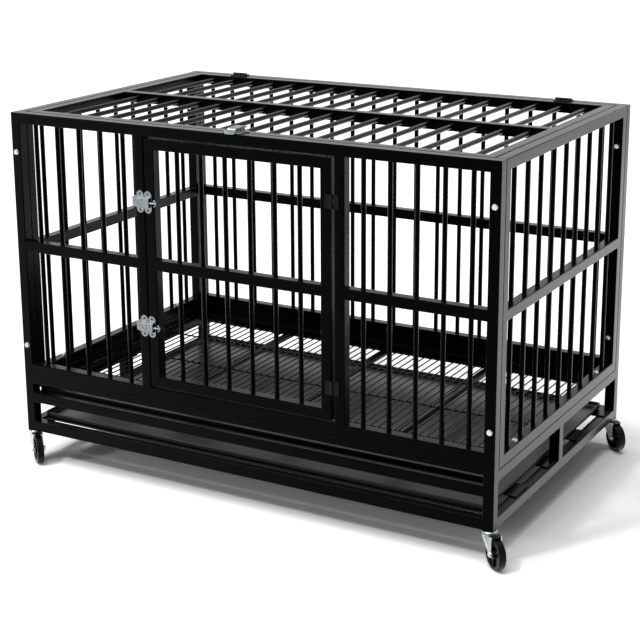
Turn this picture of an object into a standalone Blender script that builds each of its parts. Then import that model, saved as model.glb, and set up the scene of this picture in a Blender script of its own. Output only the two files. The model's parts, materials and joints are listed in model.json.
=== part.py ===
"""Barred steel dog cage on casters, with a hinged front door and a hinged roof door.

Lengths are metres, +Z is up and the front faces -Y. Pieces are drawn in cage
coordinates: x from the left face, y from the front face and z from the underside
of the base frame. Fittings and casters are drawn about their own axes.
"""

import math

import bmesh
import bpy
from mathutils import Matrix, Vector

# Frame: square tube, with a hair gap between pieces that touch
CAGE_WIDTH = 1.190
CAGE_DEPTH = 0.746
CAGE_HEIGHT = 0.757
TUBE = 0.024
GAP = 0.0003
WELD = 0.0002

# Round bars of the panels and doors
BAR_DIAMETER = 0.0105
FRONT_BAR_SIDES = 8
BAR_SIDES = 6
FRONT_BAR_PITCH = 0.0596
DOOR_BAR_PITCH = 0.0603
BACK_BAR_PITCH = 0.0594
SIDE_BAR_PITCH = 0.0704
ROOF_BAR_PITCH = 0.0594

# Base frame
BASE_FRONT_HEIGHT = 0.142
BASE_SIDE_HEIGHT = 0.125
TRAY_OPENING_HEIGHT = 0.0475
STRAP_COUNT = 4
STRAP_WIDTH = 0.068
STRAP_THICKNESS = 0.003
STRAP_PITCH = 0.1785
STRAP_REAR_INSET = 0.046
STRAP_END_INSET = 0.002

# Front door and its opening
DOOR_OPENING_WIDTH = 0.467
DOOR_LATCH_GAP = 0.002
DOOR_HINGE_GAP = 0.008
DOOR_EDGE_GAP = 0.004
DOOR_LATCH_INSET = 0.167
DOOR_HINGE_TOP_INSET = 0.117
DOOR_HINGE_BOTTOM_INSET = 0.102

# Roof door
ROOF_DOOR_GAP = 0.002
ROOF_HINGE_INSET = 0.153
ROOF_LATCH_OFFSET = -0.011

# Floor grate: a square frame with wires front to back over cross wires and stiffeners
GRATE_TOP = 0.101
GRATE_RIM = 0.020
GRATE_CLEARANCE = 0.001
GRATE_WIRE = 0.0033
GRATE_WIRE_PITCH = 0.0198
GRATE_WIRE_DROP = 0.006
CROSS_WIRE = 0.004
CROSS_WIRE_PITCH = 0.177
STIFFENER_WIDTH = 0.020
STIFFENER_HEIGHT = 0.010
STIFFENER_PITCH = 0.2855
LUG_LENGTH = 0.040
LUG_REACH = 0.020
LUG_THICKNESS = 0.003
LUG_INSET = 0.100

# Waste tray
TRAY_SIDE_CLEARANCE = 0.004
TRAY_REAR_CLEARANCE = 0.007
TRAY_WALL_HEIGHT = 0.0135
TRAY_SHEET = 0.0015

# Bolts that join the panels
BOLT_RADIUS = 0.003
BOLT_SIDES = 6
BOLT_CLEARANCE = 0.0003
BOLT_HEAD_RADIUS = 0.006
BOLT_HEAD_HEIGHT = 0.0035
BOLT_HEAD_CROWN = 0.0015
NUT_RADIUS = 0.0057
NUT_HEIGHT = 0.005
BOLT_TIP = 0.002
BOLT_TOP_INSET = 0.090
BOLT_BOTTOM_INSET = 0.086
BASE_BOLT_INSET = 0.131

# Butt hinges: a pinned leaf on the frame and a bored leaf on the door
FRONT_HINGE_LENGTH = 0.030
ROOF_HINGE_LENGTH = 0.039
HINGE_LEAF_WIDTH = 0.0165
HINGE_LEAF_THICKNESS = 0.0025
HINGE_AXIS_HEIGHT = 0.004
KNUCKLE_RADIUS = 0.0035
KNUCKLE_GAP = 0.0004
KNUCKLE_SIDES = 8
HINGE_PIN_RADIUS = 0.0015
HINGE_PIN_CLEARANCE = 0.0003

# Slide latches, drawn about the seam that they close
LATCH_PLATE_THICKNESS = 0.0022
LATCH_HOOD_HEIGHT = 0.013
LATCH_HOOD_HALF = 0.013
LATCH_BOLT_RADIUS = 0.004
LATCH_BOLT_CLEARANCE = 0.0004
LATCH_BOLT_HEIGHT = 0.0075
LATCH_BOLT_TIP = 0.0008
LATCH_SIDES = 8
LATCH_LOBE_RADIUS = 0.007
LATCH_SCREW_RISE = 0.018
LATCH_SCREW_RADIUS = 0.0021
LATCH_BODY_START = 0.0015
LATCH_BODY_END = 0.0186
LATCH_SLOT_START = 0.0106
LATCH_SLOT_END = 0.0155
KEEPER_START = 0.0020
KEEPER_END = 0.0230
KEEPER_BORE_DEPTH = 0.014
KEEPER_WING = 0.0095
KEEPER_WING_HALF = 0.012
HANDLE_CENTRE = 0.0265
HANDLE_OUTER = 0.0075
HANDLE_INNER = 0.0045
HANDLE_HALF_ANGLE = math.radians(75)
HANDLE_THICKNESS = 0.006
ARC_STEPS = 6

# Swivel casters: the wheel trails along +x and turns about y
CASTER_HEIGHT = 0.073
CASTER_HEADING = math.radians(-40)
CASTER_TRAIL = 0.0295
WHEEL_RADIUS = 0.033
WHEEL_WIDTH = 0.016
WHEEL_SIDES = 20
TREAD_ROUND = 0.002
RIM_INNER_RADIUS = 0.025
WEB_THICKNESS = 0.005
HUB_RADIUS = 0.010
HUB_WIDTH = 0.018
AXLE_RADIUS = 0.004
AXLE_CLEARANCE = 0.0003
AXLE_HEAD_RADIUS = 0.0068
AXLE_HEAD_HEIGHT = 0.0035
FORK_LEG = 0.0025
FORK_LEG_CLEARANCE = 0.001
FORK_CROWN = 0.0022
CROWN_REAR = 0.0155
FORK_FRONT = 0.012
FORK_FRONT_DROP = 0.016
FORK_HEEL = 0.0065
FORK_HEEL_RISE = 0.002
FORK_TOE = 0.009
FORK_TIP_DROP = 0.0095
CUP_RADIUS = 0.016
CUP_HEIGHT = 0.0027
STEM_RADIUS = 0.004
STEM_LENGTH = 0.030
KING_PIN_RADIUS = 0.003
KING_PIN_HEAD = 0.0055
KING_PIN_HEAD_HEIGHT = 0.0016
STEM_SIDES = 8
PEDAL_PIVOT_X = 0.0185
PEDAL_PIVOT_DROP = 0.0028
PEDAL_BARREL_RADIUS = 0.0018
PEDAL_PIN_RADIUS = 0.0015
PEDAL_SHEET = 0.0016
PEDAL_HALF_WIDTH = 0.0085
PEDAL_RISE = 0.0006
PEDAL_FLAT = 0.0145
PEDAL_REACH = 0.0195
PEDAL_LIP = 0.001
PEDAL_SIDES = 6
PEDAL_LIFT = math.radians(5)

SMOOTH_ANGLE = math.radians(62)
EDGES = {"left": TUBE / 2, "right": CAGE_WIDTH - TUBE / 2}
ENDS = {"front": TUBE / 2, "rear": CAGE_DEPTH - TUBE / 2}

# Heights of the fittings, from the top of the cage and the top of its base
BOLT_HEIGHTS = {
    "upper": CAGE_HEIGHT - BOLT_TOP_INSET,
    "lower": BASE_SIDE_HEIGHT + BOLT_BOTTOM_INSET,
}
DOOR_LATCH_HEIGHTS = {
    "upper": CAGE_HEIGHT - DOOR_LATCH_INSET,
    "lower": BASE_FRONT_HEIGHT + DOOR_LATCH_INSET,
}
DOOR_HINGE_HEIGHTS = {
    "upper": CAGE_HEIGHT - DOOR_HINGE_TOP_INSET,
    "lower": BASE_FRONT_HEIGHT + DOOR_HINGE_BOTTOM_INSET,
}

# How far the parked casters' wheels and forks stand out past the faces of the frame
FORK_INNER_HALF = max(WHEEL_WIDTH, HUB_WIDTH) / 2 + FORK_LEG_CLEARANCE
FORK_OUTER_HALF = FORK_INNER_HALF + FORK_LEG
ALONG = math.cos(CASTER_HEADING)
ACROSS = math.sin(-CASTER_HEADING)
WHEEL_REACH = CASTER_TRAIL + WHEEL_RADIUS
WHEEL_AT_RIGHT = WHEEL_REACH * ALONG + WHEEL_WIDTH / 2 * ACROSS - TUBE / 2
WHEEL_AT_FRONT = WHEEL_REACH * ACROSS + WHEEL_WIDTH / 2 * ALONG - TUBE / 2
FORK_AT_LEFT = FORK_FRONT * ALONG + FORK_OUTER_HALF * ACROSS - TUBE / 2
FORK_AT_REAR = FORK_FRONT * ACROSS + FORK_OUTER_HALF * ALONG - TUBE / 2

# The world origin is on the floor, at the middle of the box that holds the whole cage
CAGE_CORNER = Vector((
    -(CAGE_WIDTH + WHEEL_AT_RIGHT - FORK_AT_LEFT) / 2,
    -(CAGE_DEPTH - WHEEL_AT_FRONT + FORK_AT_REAR) / 2,
    CASTER_HEIGHT,
))

# Turns a fitting from the front face to the roof: its +x then runs back along +Y
ROOF_TURN = Matrix(((0, 0, -1), (1, 0, 0), (0, -1, 0))).to_4x4()


def clear_scene():
    """Removes every object of the opened file."""
    for item in list(bpy.data.objects):
        bpy.data.objects.remove(item, do_unlink=True)


def make_material(name, colour, roughness, metallic):
    """Returns a Principled material with one colour."""
    material = bpy.data.materials.new(name)
    material.use_nodes = True
    shader = material.node_tree.nodes["Principled BSDF"]
    shader.inputs["Base Color"].default_value = (*colour, 1.0)
    shader.inputs["Roughness"].default_value = roughness
    shader.inputs["Metallic"].default_value = metallic
    material.diffuse_color = (*colour, 1.0)
    return material


def add_box(shape, low, high):
    """Adds a box between two corners."""
    low = Vector(low)
    high = Vector(high)
    scale = Matrix.Diagonal((*(high - low), 1.0))
    matrix = Matrix.Translation((low + high) / 2) @ scale
    bmesh.ops.create_cube(shape, size=1.0, matrix=matrix)


def add_bar(shape, start, end, radius, sides):
    """Adds a round bar with flat ends from one point to another."""
    start = Vector(start)
    run = Vector(end) - start
    turn = Vector((0, 0, 1)).rotation_difference(run).to_matrix().to_4x4()
    profile = ((radius, 0.0), (radius, run.length))
    add_turned(shape, profile, sides, Matrix.Translation(start) @ turn)


def add_turned(shape, profile, sides, matrix, bored=False):
    """Turns (radius, height) points about z, with flat ends or round a bore."""
    loops = []
    for radius, height in profile:
        loop = []
        for step in range(sides):
            angle = math.tau * step / sides
            point = Vector((radius * math.cos(angle), radius * math.sin(angle), height))
            loop.append(shape.verts.new(matrix @ point))
        loops.append(loop)
    pairs = list(zip(loops, loops[1:]))
    if bored:
        pairs.append((loops[-1], loops[0]))
    faces = []
    for lower, upper in pairs:
        for step in range(sides):
            after = (step + 1) % sides
            corners = (lower[step], lower[after], upper[after], upper[step])
            faces.append(shape.faces.new(corners))
    if not bored:
        faces.append(shape.faces.new(loops[0]))
        faces.append(shape.faces.new(loops[-1]))
    bmesh.ops.recalc_face_normals(shape, faces=faces)


def add_plate(shape, outline, front, back):
    """Adds a plate with an (x, z) outline between two values of y."""
    near = [shape.verts.new((x, front, z)) for x, z in outline]
    far = [shape.verts.new((x, back, z)) for x, z in outline]
    faces = [shape.faces.new(near), shape.faces.new(far)]
    for step in range(len(outline)):
        after = (step + 1) % len(outline)
        faces.append(shape.faces.new((near[step], near[after], far[after], far[step])))
    bmesh.ops.recalc_face_normals(shape, faces=faces)


def arc(centre, radius, start, end, steps):
    """Returns points along an arc, both ends included."""
    points = []
    for step in range(steps + 1):
        angle = start + (end - start) * step / steps
        x = centre[0] + radius * math.cos(angle)
        z = centre[1] + radius * math.sin(angle)
        points.append((x, z))
    return points


def spread(low, high, pitch):
    """Returns the places of as many pieces as fit at one pitch, centred in a span."""
    count = int((high - low) / pitch)
    first = (low + high) / 2 - pitch * (count - 1) / 2
    return [first + pitch * step for step in range(count)]


def temporary_object(shape):
    """Returns an object that holds a shape while it is combined."""
    mesh = bpy.data.meshes.new("shape")
    shape.to_mesh(mesh)
    shape.free()
    item = bpy.data.objects.new("shape", mesh)
    bpy.context.collection.objects.link(item)
    return item


def combine(shape, tool, operation):
    """Returns the union, difference or intersection of two closed shapes."""
    body = temporary_object(shape)
    cutter = temporary_object(tool)
    cutter.hide_render = True
    cutter.display_type = "WIRE"
    modifier = body.modifiers.new(operation.title(), "BOOLEAN")
    modifier.operation = operation
    modifier.solver = "EXACT"
    modifier.object = cutter
    result = bmesh.new()
    result.from_object(body, bpy.context.evaluated_depsgraph_get())
    for item in (body, cutter):
        mesh = item.data
        bpy.data.objects.remove(item)
        bpy.data.meshes.remove(mesh)
    return result


def make_piece(name, shape, material, matrix):
    """Makes the named object of a finished shape."""
    mesh = bpy.data.meshes.new(name)
    shape.to_mesh(mesh)
    shape.free()
    mesh.materials.append(material)
    mesh.shade_smooth()
    mesh.set_sharp_from_angle(angle=SMOOTH_ANGLE)
    piece = bpy.data.objects.new(name, mesh)
    bpy.context.collection.objects.link(piece)
    piece.matrix_world = matrix
    return piece


def make_cage_piece(name, shape, material, pivot=(0.0, 0.0, 0.0)):
    """Makes an object drawn in cage coordinates, with its origin at a pivot."""
    pivot = Vector(pivot)
    shape.transform(Matrix.Translation(-pivot))
    return make_piece(name, shape, material, Matrix.Translation(CAGE_CORNER + pivot))


def panel_shape(width, height, columns, sides=BAR_SIDES):
    """Draws a barred panel of square tube, standing at x = y = z = 0.

    Each column is a clear width between two stiles: its start, its end and the
    pitch of its bars. A column with no bars has no middle rail either.
    """
    middle = height / 2
    windows = bmesh.new()
    bars = bmesh.new()
    for start, end, pitch in columns:
        levels = [TUBE, middle - TUBE / 2, middle + TUBE / 2, height - TUBE]
        if pitch is None:
            levels = [TUBE, height - TUBE]
        for bottom, top in zip(levels[::2], levels[1::2]):
            add_box(windows, (start, -TUBE, bottom), (end, 2 * TUBE, top))
        if pitch is None:
            continue
        for x in spread(start, end, pitch):
            foot = (x, TUBE / 2, TUBE / 2)
            head = (x, TUBE / 2, height - TUBE / 2)
            add_bar(bars, foot, head, BAR_DIAMETER / 2, sides)
    shape = bmesh.new()
    add_box(shape, (0, 0, 0), (width, TUBE, height))
    shape = combine(shape, windows, "DIFFERENCE")
    return combine(shape, bars, "UNION")


def add_hole(holes, point, axis):
    """Adds the cutter of a bolt hole through two tubes that meet at a point."""
    reach = Vector(axis) * 2 * TUBE
    point = Vector(point)
    add_bar(holes, point - reach, point + reach, BOLT_RADIUS + BOLT_CLEARANCE, BOLT_SIDES)


def front_panel_shape():
    """Draws the front panel with its door opening and two barred sections."""
    opening_start = (CAGE_WIDTH - DOOR_OPENING_WIDTH) / 2
    opening_end = (CAGE_WIDTH + DOOR_OPENING_WIDTH) / 2
    columns = (
        (TUBE, opening_start - TUBE, FRONT_BAR_PITCH),
        (opening_start, opening_end, None),
        (opening_end + TUBE, CAGE_WIDTH - TUBE, FRONT_BAR_PITCH),
    )
    bottom = BASE_FRONT_HEIGHT + GAP
    shape = panel_shape(CAGE_WIDTH, CAGE_HEIGHT - bottom, columns, FRONT_BAR_SIDES)
    shape.transform(Matrix.Translation((0, 0, bottom)))
    holes = bmesh.new()
    for x in EDGES.values():
        for z in BOLT_HEIGHTS.values():
            add_hole(holes, (x, TUBE, z), (0, 1, 0))
    return combine(shape, holes, "DIFFERENCE")


def back_panel_shape():
    """Draws the back panel, one barred width."""
    bottom = BASE_SIDE_HEIGHT + GAP
    columns = ((TUBE, CAGE_WIDTH - TUBE, BACK_BAR_PITCH),)
    shape = panel_shape(CAGE_WIDTH, CAGE_HEIGHT - bottom, columns)
    shape.transform(Matrix.Translation((0, CAGE_DEPTH - TUBE, bottom)))
    holes = bmesh.new()
    for x in EDGES.values():
        for z in BOLT_HEIGHTS.values():
            add_hole(holes, (x, CAGE_DEPTH - TUBE, z), (0, 1, 0))
    return combine(shape, holes, "DIFFERENCE")


def side_panel_shape(edge):
    """Draws the side panel whose tube centre line is at x = edge."""
    start = TUBE + GAP
    length = CAGE_DEPTH - 2 * start
    bottom = BASE_SIDE_HEIGHT + GAP
    columns = ((TUBE, length - TUBE, SIDE_BAR_PITCH),)
    shape = panel_shape(length, CAGE_HEIGHT - bottom, columns)
    shape.transform(Matrix.Rotation(math.radians(90), 4, "Z"))
    shape.transform(Matrix.Translation((edge + TUBE / 2, start, bottom)))
    holes = bmesh.new()
    for y in (TUBE, CAGE_DEPTH - TUBE):
        for z in BOLT_HEIGHTS.values():
            add_hole(holes, (edge, y, z), (0, 1, 0))
    for y in (BASE_BOLT_INSET, CAGE_DEPTH - BASE_BOLT_INSET):
        add_hole(holes, (edge, y, BASE_SIDE_HEIGHT), (0, 0, 1))
    return combine(shape, holes, "DIFFERENCE")


def base_walls():
    """Draws the four walls of the base as posts and rails."""
    inner_right = CAGE_WIDTH - TUBE
    inner_back = CAGE_DEPTH - TUBE
    shape = bmesh.new()
    add_box(shape, (0, 0, 0), (CAGE_WIDTH, CAGE_DEPTH, BASE_FRONT_HEIGHT))
    hollow = bmesh.new()
    add_box(hollow, (TUBE, TUBE, -TUBE), (inner_right, inner_back, 2 * BASE_FRONT_HEIGHT))
    shape = combine(shape, hollow, "DIFFERENCE")
    step = bmesh.new()
    step_low = (-TUBE, TUBE, BASE_SIDE_HEIGHT)
    add_box(step, step_low, (CAGE_WIDTH + TUBE, CAGE_DEPTH + TUBE, 2 * BASE_FRONT_HEIGHT))
    shape = combine(shape, step, "DIFFERENCE")
    slots = bmesh.new()
    tray_top = TUBE + TRAY_OPENING_HEIGHT
    add_box(slots, (TUBE, -TUBE, TUBE), (inner_right, 2 * TUBE, tray_top))
    upper_slot = (TUBE, -TUBE, tray_top + TUBE)
    add_box(slots, upper_slot, (inner_right, 2 * TUBE, BASE_FRONT_HEIGHT - TUBE))
    shape = combine(shape, slots, "DIFFERENCE")
    sides = bmesh.new()
    side_top = BASE_SIDE_HEIGHT - TUBE
    strut = CAGE_DEPTH / 2
    add_box(sides, (-TUBE, TUBE, TUBE), (CAGE_WIDTH + TUBE, strut - TUBE / 2, side_top))
    rear_bay = (-TUBE, strut + TUBE / 2, TUBE)
    add_box(sides, rear_bay, (CAGE_WIDTH + TUBE, inner_back, side_top))
    shape = combine(shape, sides, "DIFFERENCE")
    rear = bmesh.new()
    add_box(rear, (TUBE, inner_back - TUBE, TUBE), (inner_right, CAGE_DEPTH + TUBE, side_top))
    return combine(shape, rear, "DIFFERENCE")


def base_frame_shape():
    """Draws the base frame with its tray straps, grate lugs and bored posts."""
    inner_right = CAGE_WIDTH - TUBE
    inner_back = CAGE_DEPTH - TUBE
    shape = base_walls()
    straps = bmesh.new()
    for step in range(STRAP_COUNT):
        y = CAGE_DEPTH - STRAP_REAR_INSET - STRAP_PITCH * step
        low = (STRAP_END_INSET, y - STRAP_WIDTH / 2, TUBE - WELD)
        high = (CAGE_WIDTH - STRAP_END_INSET, y + STRAP_WIDTH / 2, TUBE + STRAP_THICKNESS)
        add_box(straps, low, high)
    shape = combine(shape, straps, "UNION")
    lug_top = GRATE_TOP - GRATE_RIM - GAP
    lug_bottom = lug_top - LUG_THICKNESS
    lugs = bmesh.new()
    for x in (LUG_INSET, CAGE_WIDTH / 2, CAGE_WIDTH - LUG_INSET):
        low = (x - LUG_LENGTH / 2, TUBE - WELD, lug_bottom)
        add_box(lugs, low, (x + LUG_LENGTH / 2, TUBE + LUG_REACH, lug_top))
    strut = CAGE_DEPTH / 2
    for start, end in (
        (strut - TUBE / 2 + WELD, strut + TUBE / 2 - WELD),
        (inner_back - LUG_REACH, inner_back + TUBE / 2),
    ):
        add_box(lugs, (TUBE - WELD, start, lug_bottom), (TUBE + LUG_REACH, end, lug_top))
        low = (inner_right - LUG_REACH, start, lug_bottom)
        add_box(lugs, low, (inner_right + WELD, end, lug_top))
    shape = combine(shape, lugs, "UNION")
    holes = bmesh.new()
    for x in EDGES.values():
        for y in ENDS.values():
            foot = (x, y, -TUBE)
            head = (x, y, STEM_LENGTH + GAP)
            add_bar(holes, foot, head, STEM_RADIUS + GAP, STEM_SIDES)
        for y in (BASE_BOLT_INSET, CAGE_DEPTH - BASE_BOLT_INSET):
            add_hole(holes, (x, y, BASE_SIDE_HEIGHT), (0, 0, 1))
    return combine(shape, holes, "DIFFERENCE")


def floor_grate_shape():
    """Draws the floor grate that lies on the lugs of the base frame."""
    low = TUBE + GRATE_CLEARANCE
    right = CAGE_WIDTH - low
    back = CAGE_DEPTH - low
    bottom = GRATE_TOP - GRATE_RIM
    inner = low + GRATE_RIM
    inner_right = right - GRATE_RIM
    inner_back = back - GRATE_RIM
    seat = GRATE_RIM / 4
    shape = bmesh.new()
    add_box(shape, (low, low, bottom), (right, back, GRATE_TOP))
    hollow = bmesh.new()
    add_box(hollow, (inner, inner, 0), (inner_right, inner_back, 2 * GRATE_TOP))
    shape = combine(shape, hollow, "DIFFERENCE")
    stiffeners = bmesh.new()
    for x in spread(low, right, STIFFENER_PITCH):
        corner = (x - STIFFENER_WIDTH / 2, inner - seat, bottom + WELD)
        far = (x + STIFFENER_WIDTH / 2, inner_back + seat, bottom + STIFFENER_HEIGHT)
        add_box(stiffeners, corner, far)
    shape = combine(shape, stiffeners, "UNION")
    wire_level = GRATE_TOP - GRATE_WIRE_DROP
    cross_level = wire_level - (GRATE_WIRE + CROSS_WIRE) / 2 - GAP
    half = CROSS_WIRE / 2
    crossings = bmesh.new()
    for y in spread(inner, inner_back, CROSS_WIRE_PITCH):
        corner = (inner - seat, y - half, cross_level - half)
        add_box(crossings, corner, (inner_right + seat, y + half, cross_level + half))
    shape = combine(shape, crossings, "UNION")
    half = GRATE_WIRE / 2
    wires = bmesh.new()
    for x in spread(inner, inner_right, GRATE_WIRE_PITCH):
        corner = (x - half, inner - seat, wire_level - half)
        add_box(wires, corner, (x + half, inner_back + seat, wire_level + half))
    return combine(shape, wires, "UNION")


def waste_tray_shape():
    """Draws the low walled tray that lies on the straps of the base frame."""
    side = TUBE + TRAY_SIDE_CLEARANCE
    bottom = TUBE + STRAP_THICKNESS + GAP
    right = CAGE_WIDTH - side
    back = CAGE_DEPTH - TUBE - TRAY_REAR_CLEARANCE
    top = bottom + TRAY_WALL_HEIGHT
    shape = bmesh.new()
    add_box(shape, (side, side, bottom), (right, back, top))
    hollow = bmesh.new()
    low = (side + TRAY_SHEET, side + TRAY_SHEET, bottom + TRAY_SHEET)
    add_box(hollow, low, (right - TRAY_SHEET, back - TRAY_SHEET, 2 * top))
    return combine(shape, hollow, "DIFFERENCE")


def front_door_place():
    """Returns the front door's left edge, width, bottom and height."""
    left = (CAGE_WIDTH - DOOR_OPENING_WIDTH) / 2 + DOOR_LATCH_GAP
    width = DOOR_OPENING_WIDTH - DOOR_LATCH_GAP - DOOR_HINGE_GAP
    bottom = BASE_FRONT_HEIGHT + GAP + TUBE + DOOR_EDGE_GAP
    height = CAGE_HEIGHT - TUBE - DOOR_EDGE_GAP - bottom
    return left, width, bottom, height


def front_hinge_axis():
    """Returns the x of the front door's hinge axis."""
    return (CAGE_WIDTH + DOOR_OPENING_WIDTH - DOOR_HINGE_GAP) / 2


def make_front_door(steel):
    """Makes the front door, with its origin on the hinge axis."""
    left, width, bottom, height = front_door_place()
    columns = ((TUBE, width - TUBE, DOOR_BAR_PITCH),)
    shape = panel_shape(width, height, columns, FRONT_BAR_SIDES)
    shape.transform(Matrix.Translation((left, 0, bottom)))
    pivot = (front_hinge_axis(), -HINGE_AXIS_HEIGHT, bottom)
    make_cage_piece("front_door", shape, steel, pivot)


def make_roof_door(steel):
    """Makes the roof door, flush with the rim and with its origin on the hinge axis."""
    inset = TUBE + ROOF_DOOR_GAP
    width = CAGE_WIDTH - 2 * inset
    depth = CAGE_DEPTH - 2 * inset
    shape = panel_shape(width, depth, ((TUBE, width - TUBE, ROOF_BAR_PITCH),))
    shape.transform(Matrix.Rotation(math.radians(-90), 4, "X"))
    shape.transform(Matrix.Translation((inset, inset, CAGE_HEIGHT)))
    pivot = (inset, roof_hinge_axis(), CAGE_HEIGHT + HINGE_AXIS_HEIGHT)
    make_cage_piece("roof_door", shape, steel, pivot)


def roof_hinge_axis():
    """Returns the y of the roof door's hinge axis."""
    return CAGE_DEPTH - TUBE - ROOF_DOOR_GAP / 2


def hinge_leaf_shape(length, side):
    """Draws the plate of a leaf, on the side of the axis that side gives."""
    near = HINGE_AXIS_HEIGHT - GAP - HINGE_LEAF_THICKNESS
    far = HINGE_AXIS_HEIGHT - GAP
    start = KNUCKLE_RADIUS + KNUCKLE_GAP
    ends = sorted((side * start, side * HINGE_LEAF_WIDTH))
    shape = bmesh.new()
    add_box(shape, (ends[0], near, -length / 2), (ends[1], far, length / 2))
    return shape


def hinge_knuckle_shape(side, bottom, top):
    """Draws one knuckle with the tang that joins it to its leaf."""
    near = HINGE_AXIS_HEIGHT - GAP - HINGE_LEAF_THICKNESS
    far = HINGE_AXIS_HEIGHT - GAP - WELD
    knuckle = bmesh.new()
    add_bar(knuckle, (0, 0, bottom), (0, 0, top), KNUCKLE_RADIUS, KNUCKLE_SIDES)
    ends = sorted((0.0, side * (KNUCKLE_RADIUS + 2 * KNUCKLE_GAP)))
    tang = bmesh.new()
    add_box(tang, (ends[0], near + WELD, bottom + WELD), (ends[1], far, top - WELD))
    return combine(knuckle, tang, "UNION")


def make_hinge(name, length, matrix, enamel):
    """Makes the two leaves of a hinge whose axis is z and whose door is at -x."""
    sixth = length / 6
    frame_leaf = hinge_leaf_shape(length, 1)
    for bottom, top in ((-length / 2, -sixth), (sixth, length / 2)):
        frame_leaf = combine(frame_leaf, hinge_knuckle_shape(1, bottom, top), "UNION")
    pin = bmesh.new()
    pin_end = length / 2 - KNUCKLE_GAP
    add_bar(pin, (0, 0, -pin_end), (0, 0, pin_end), HINGE_PIN_RADIUS, KNUCKLE_SIDES)
    frame_leaf = combine(frame_leaf, pin, "UNION")
    make_piece(name + "_frame_leaf", frame_leaf, enamel, matrix)
    middle = sixth - KNUCKLE_GAP
    door_leaf = hinge_leaf_shape(length, -1)
    door_leaf = combine(door_leaf, hinge_knuckle_shape(-1, -middle, middle), "UNION")
    bore = bmesh.new()
    radius = HINGE_PIN_RADIUS + HINGE_PIN_CLEARANCE
    add_bar(bore, (0, 0, -length), (0, 0, length), radius, KNUCKLE_SIDES)
    door_leaf = combine(door_leaf, bore, "DIFFERENCE")
    make_piece(name + "_door_leaf", door_leaf, enamel, matrix)


def lobed_outline(start, end):
    """Returns the outline of a latch plate with a screw lobe above and below."""
    centre = (start + end) / 2
    upper = arc((centre, LATCH_SCREW_RISE), LATCH_LOBE_RADIUS, 0, math.pi, ARC_STEPS)
    lower = [(x, -z) for x, z in reversed(upper)]
    shoulders = [(start, LATCH_HOOD_HALF), (start, -LATCH_HOOD_HALF)]
    others = [(end, -LATCH_HOOD_HALF), (end, LATCH_HOOD_HALF)]
    return upper + shoulders + lower + others


def latch_plate_shape(start, end):
    """Draws a latch plate with its raised hood and its two screw holes."""
    back = -GAP
    front = back - LATCH_PLATE_THICKNESS
    shape = bmesh.new()
    add_plate(shape, lobed_outline(start, end), front, back)
    hood = bmesh.new()
    low = (start + WELD, -LATCH_HOOD_HEIGHT, WELD - LATCH_HOOD_HALF)
    add_box(hood, low, (end - WELD, back - WELD, LATCH_HOOD_HALF - WELD))
    shape = combine(shape, hood, "UNION")
    centre = (start + end) / 2
    holes = bmesh.new()
    for z in (-LATCH_SCREW_RISE, LATCH_SCREW_RISE):
        ahead = (centre, 2 * front, z)
        add_bar(holes, ahead, (centre, -front, z), LATCH_SCREW_RADIUS, LATCH_SIDES)
    return combine(shape, holes, "DIFFERENCE")


def latch_bore_shape(start, end):
    """Draws the cutter of the hole that the latch bolt runs in."""
    bore = bmesh.new()
    ahead = (start, -LATCH_BOLT_HEIGHT, 0)
    radius = LATCH_BOLT_RADIUS + LATCH_BOLT_CLEARANCE
    add_bar(bore, ahead, (end, -LATCH_BOLT_HEIGHT, 0), radius, LATCH_SIDES)
    return bore


def latch_body_shape():
    """Draws the latch body on the door, with the slot between hood and end wall."""
    shape = latch_plate_shape(LATCH_BODY_START, LATCH_BODY_END)
    slot = bmesh.new()
    rear = -GAP - LATCH_PLATE_THICKNESS
    rise = LATCH_HOOD_HALF - LATCH_PLATE_THICKNESS
    low = (LATCH_SLOT_START, -2 * LATCH_HOOD_HEIGHT, -rise)
    add_box(slot, low, (LATCH_SLOT_END, rear, rise))
    shape = combine(shape, slot, "DIFFERENCE")
    return combine(shape, latch_bore_shape(0, 2 * LATCH_BODY_END), "DIFFERENCE")


def latch_keeper_shape():
    """Draws the keeper on the frame, with its blind bore and its wing."""
    shape = latch_plate_shape(-KEEPER_END, -KEEPER_START)
    wing = bmesh.new()
    wing_end = -KEEPER_END - KEEPER_WING
    front = -GAP - LATCH_PLATE_THICKNESS
    low = (wing_end, front + WELD, -KEEPER_WING_HALF)
    add_box(wing, low, (-KEEPER_END + KEEPER_WING / 2, -GAP - WELD, KEEPER_WING_HALF))
    shape = combine(shape, wing, "UNION")
    hole = bmesh.new()
    centre = wing_end + KEEPER_WING / 2
    ahead = (centre, 2 * front, 0)
    add_bar(hole, ahead, (centre, -front, 0), LATCH_SCREW_RADIUS, LATCH_SIDES)
    shape = combine(shape, hole, "DIFFERENCE")
    bore_end = -KEEPER_START - KEEPER_BORE_DEPTH
    return combine(shape, latch_bore_shape(bore_end, KEEPER_START), "DIFFERENCE")


def latch_bolt_shape():
    """Draws the sliding bolt with its hooked handle."""
    shape = bmesh.new()
    neck = HANDLE_CENTRE + (HANDLE_OUTER + HANDLE_INNER) / 2
    tip = (LATCH_BOLT_TIP, -LATCH_BOLT_HEIGHT, 0)
    add_bar(shape, tip, (neck, -LATCH_BOLT_HEIGHT, 0), LATCH_BOLT_RADIUS, LATCH_SIDES)
    centre = (HANDLE_CENTRE, 0)
    angle = HANDLE_HALF_ANGLE
    outer = arc(centre, HANDLE_OUTER, -angle, angle, ARC_STEPS)
    inner = arc(centre, HANDLE_INNER, angle, -angle, ARC_STEPS)
    handle = bmesh.new()
    front = -LATCH_BOLT_HEIGHT - HANDLE_THICKNESS / 2
    add_plate(handle, outer + inner, front, front + HANDLE_THICKNESS)
    return combine(shape, handle, "UNION")


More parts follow.
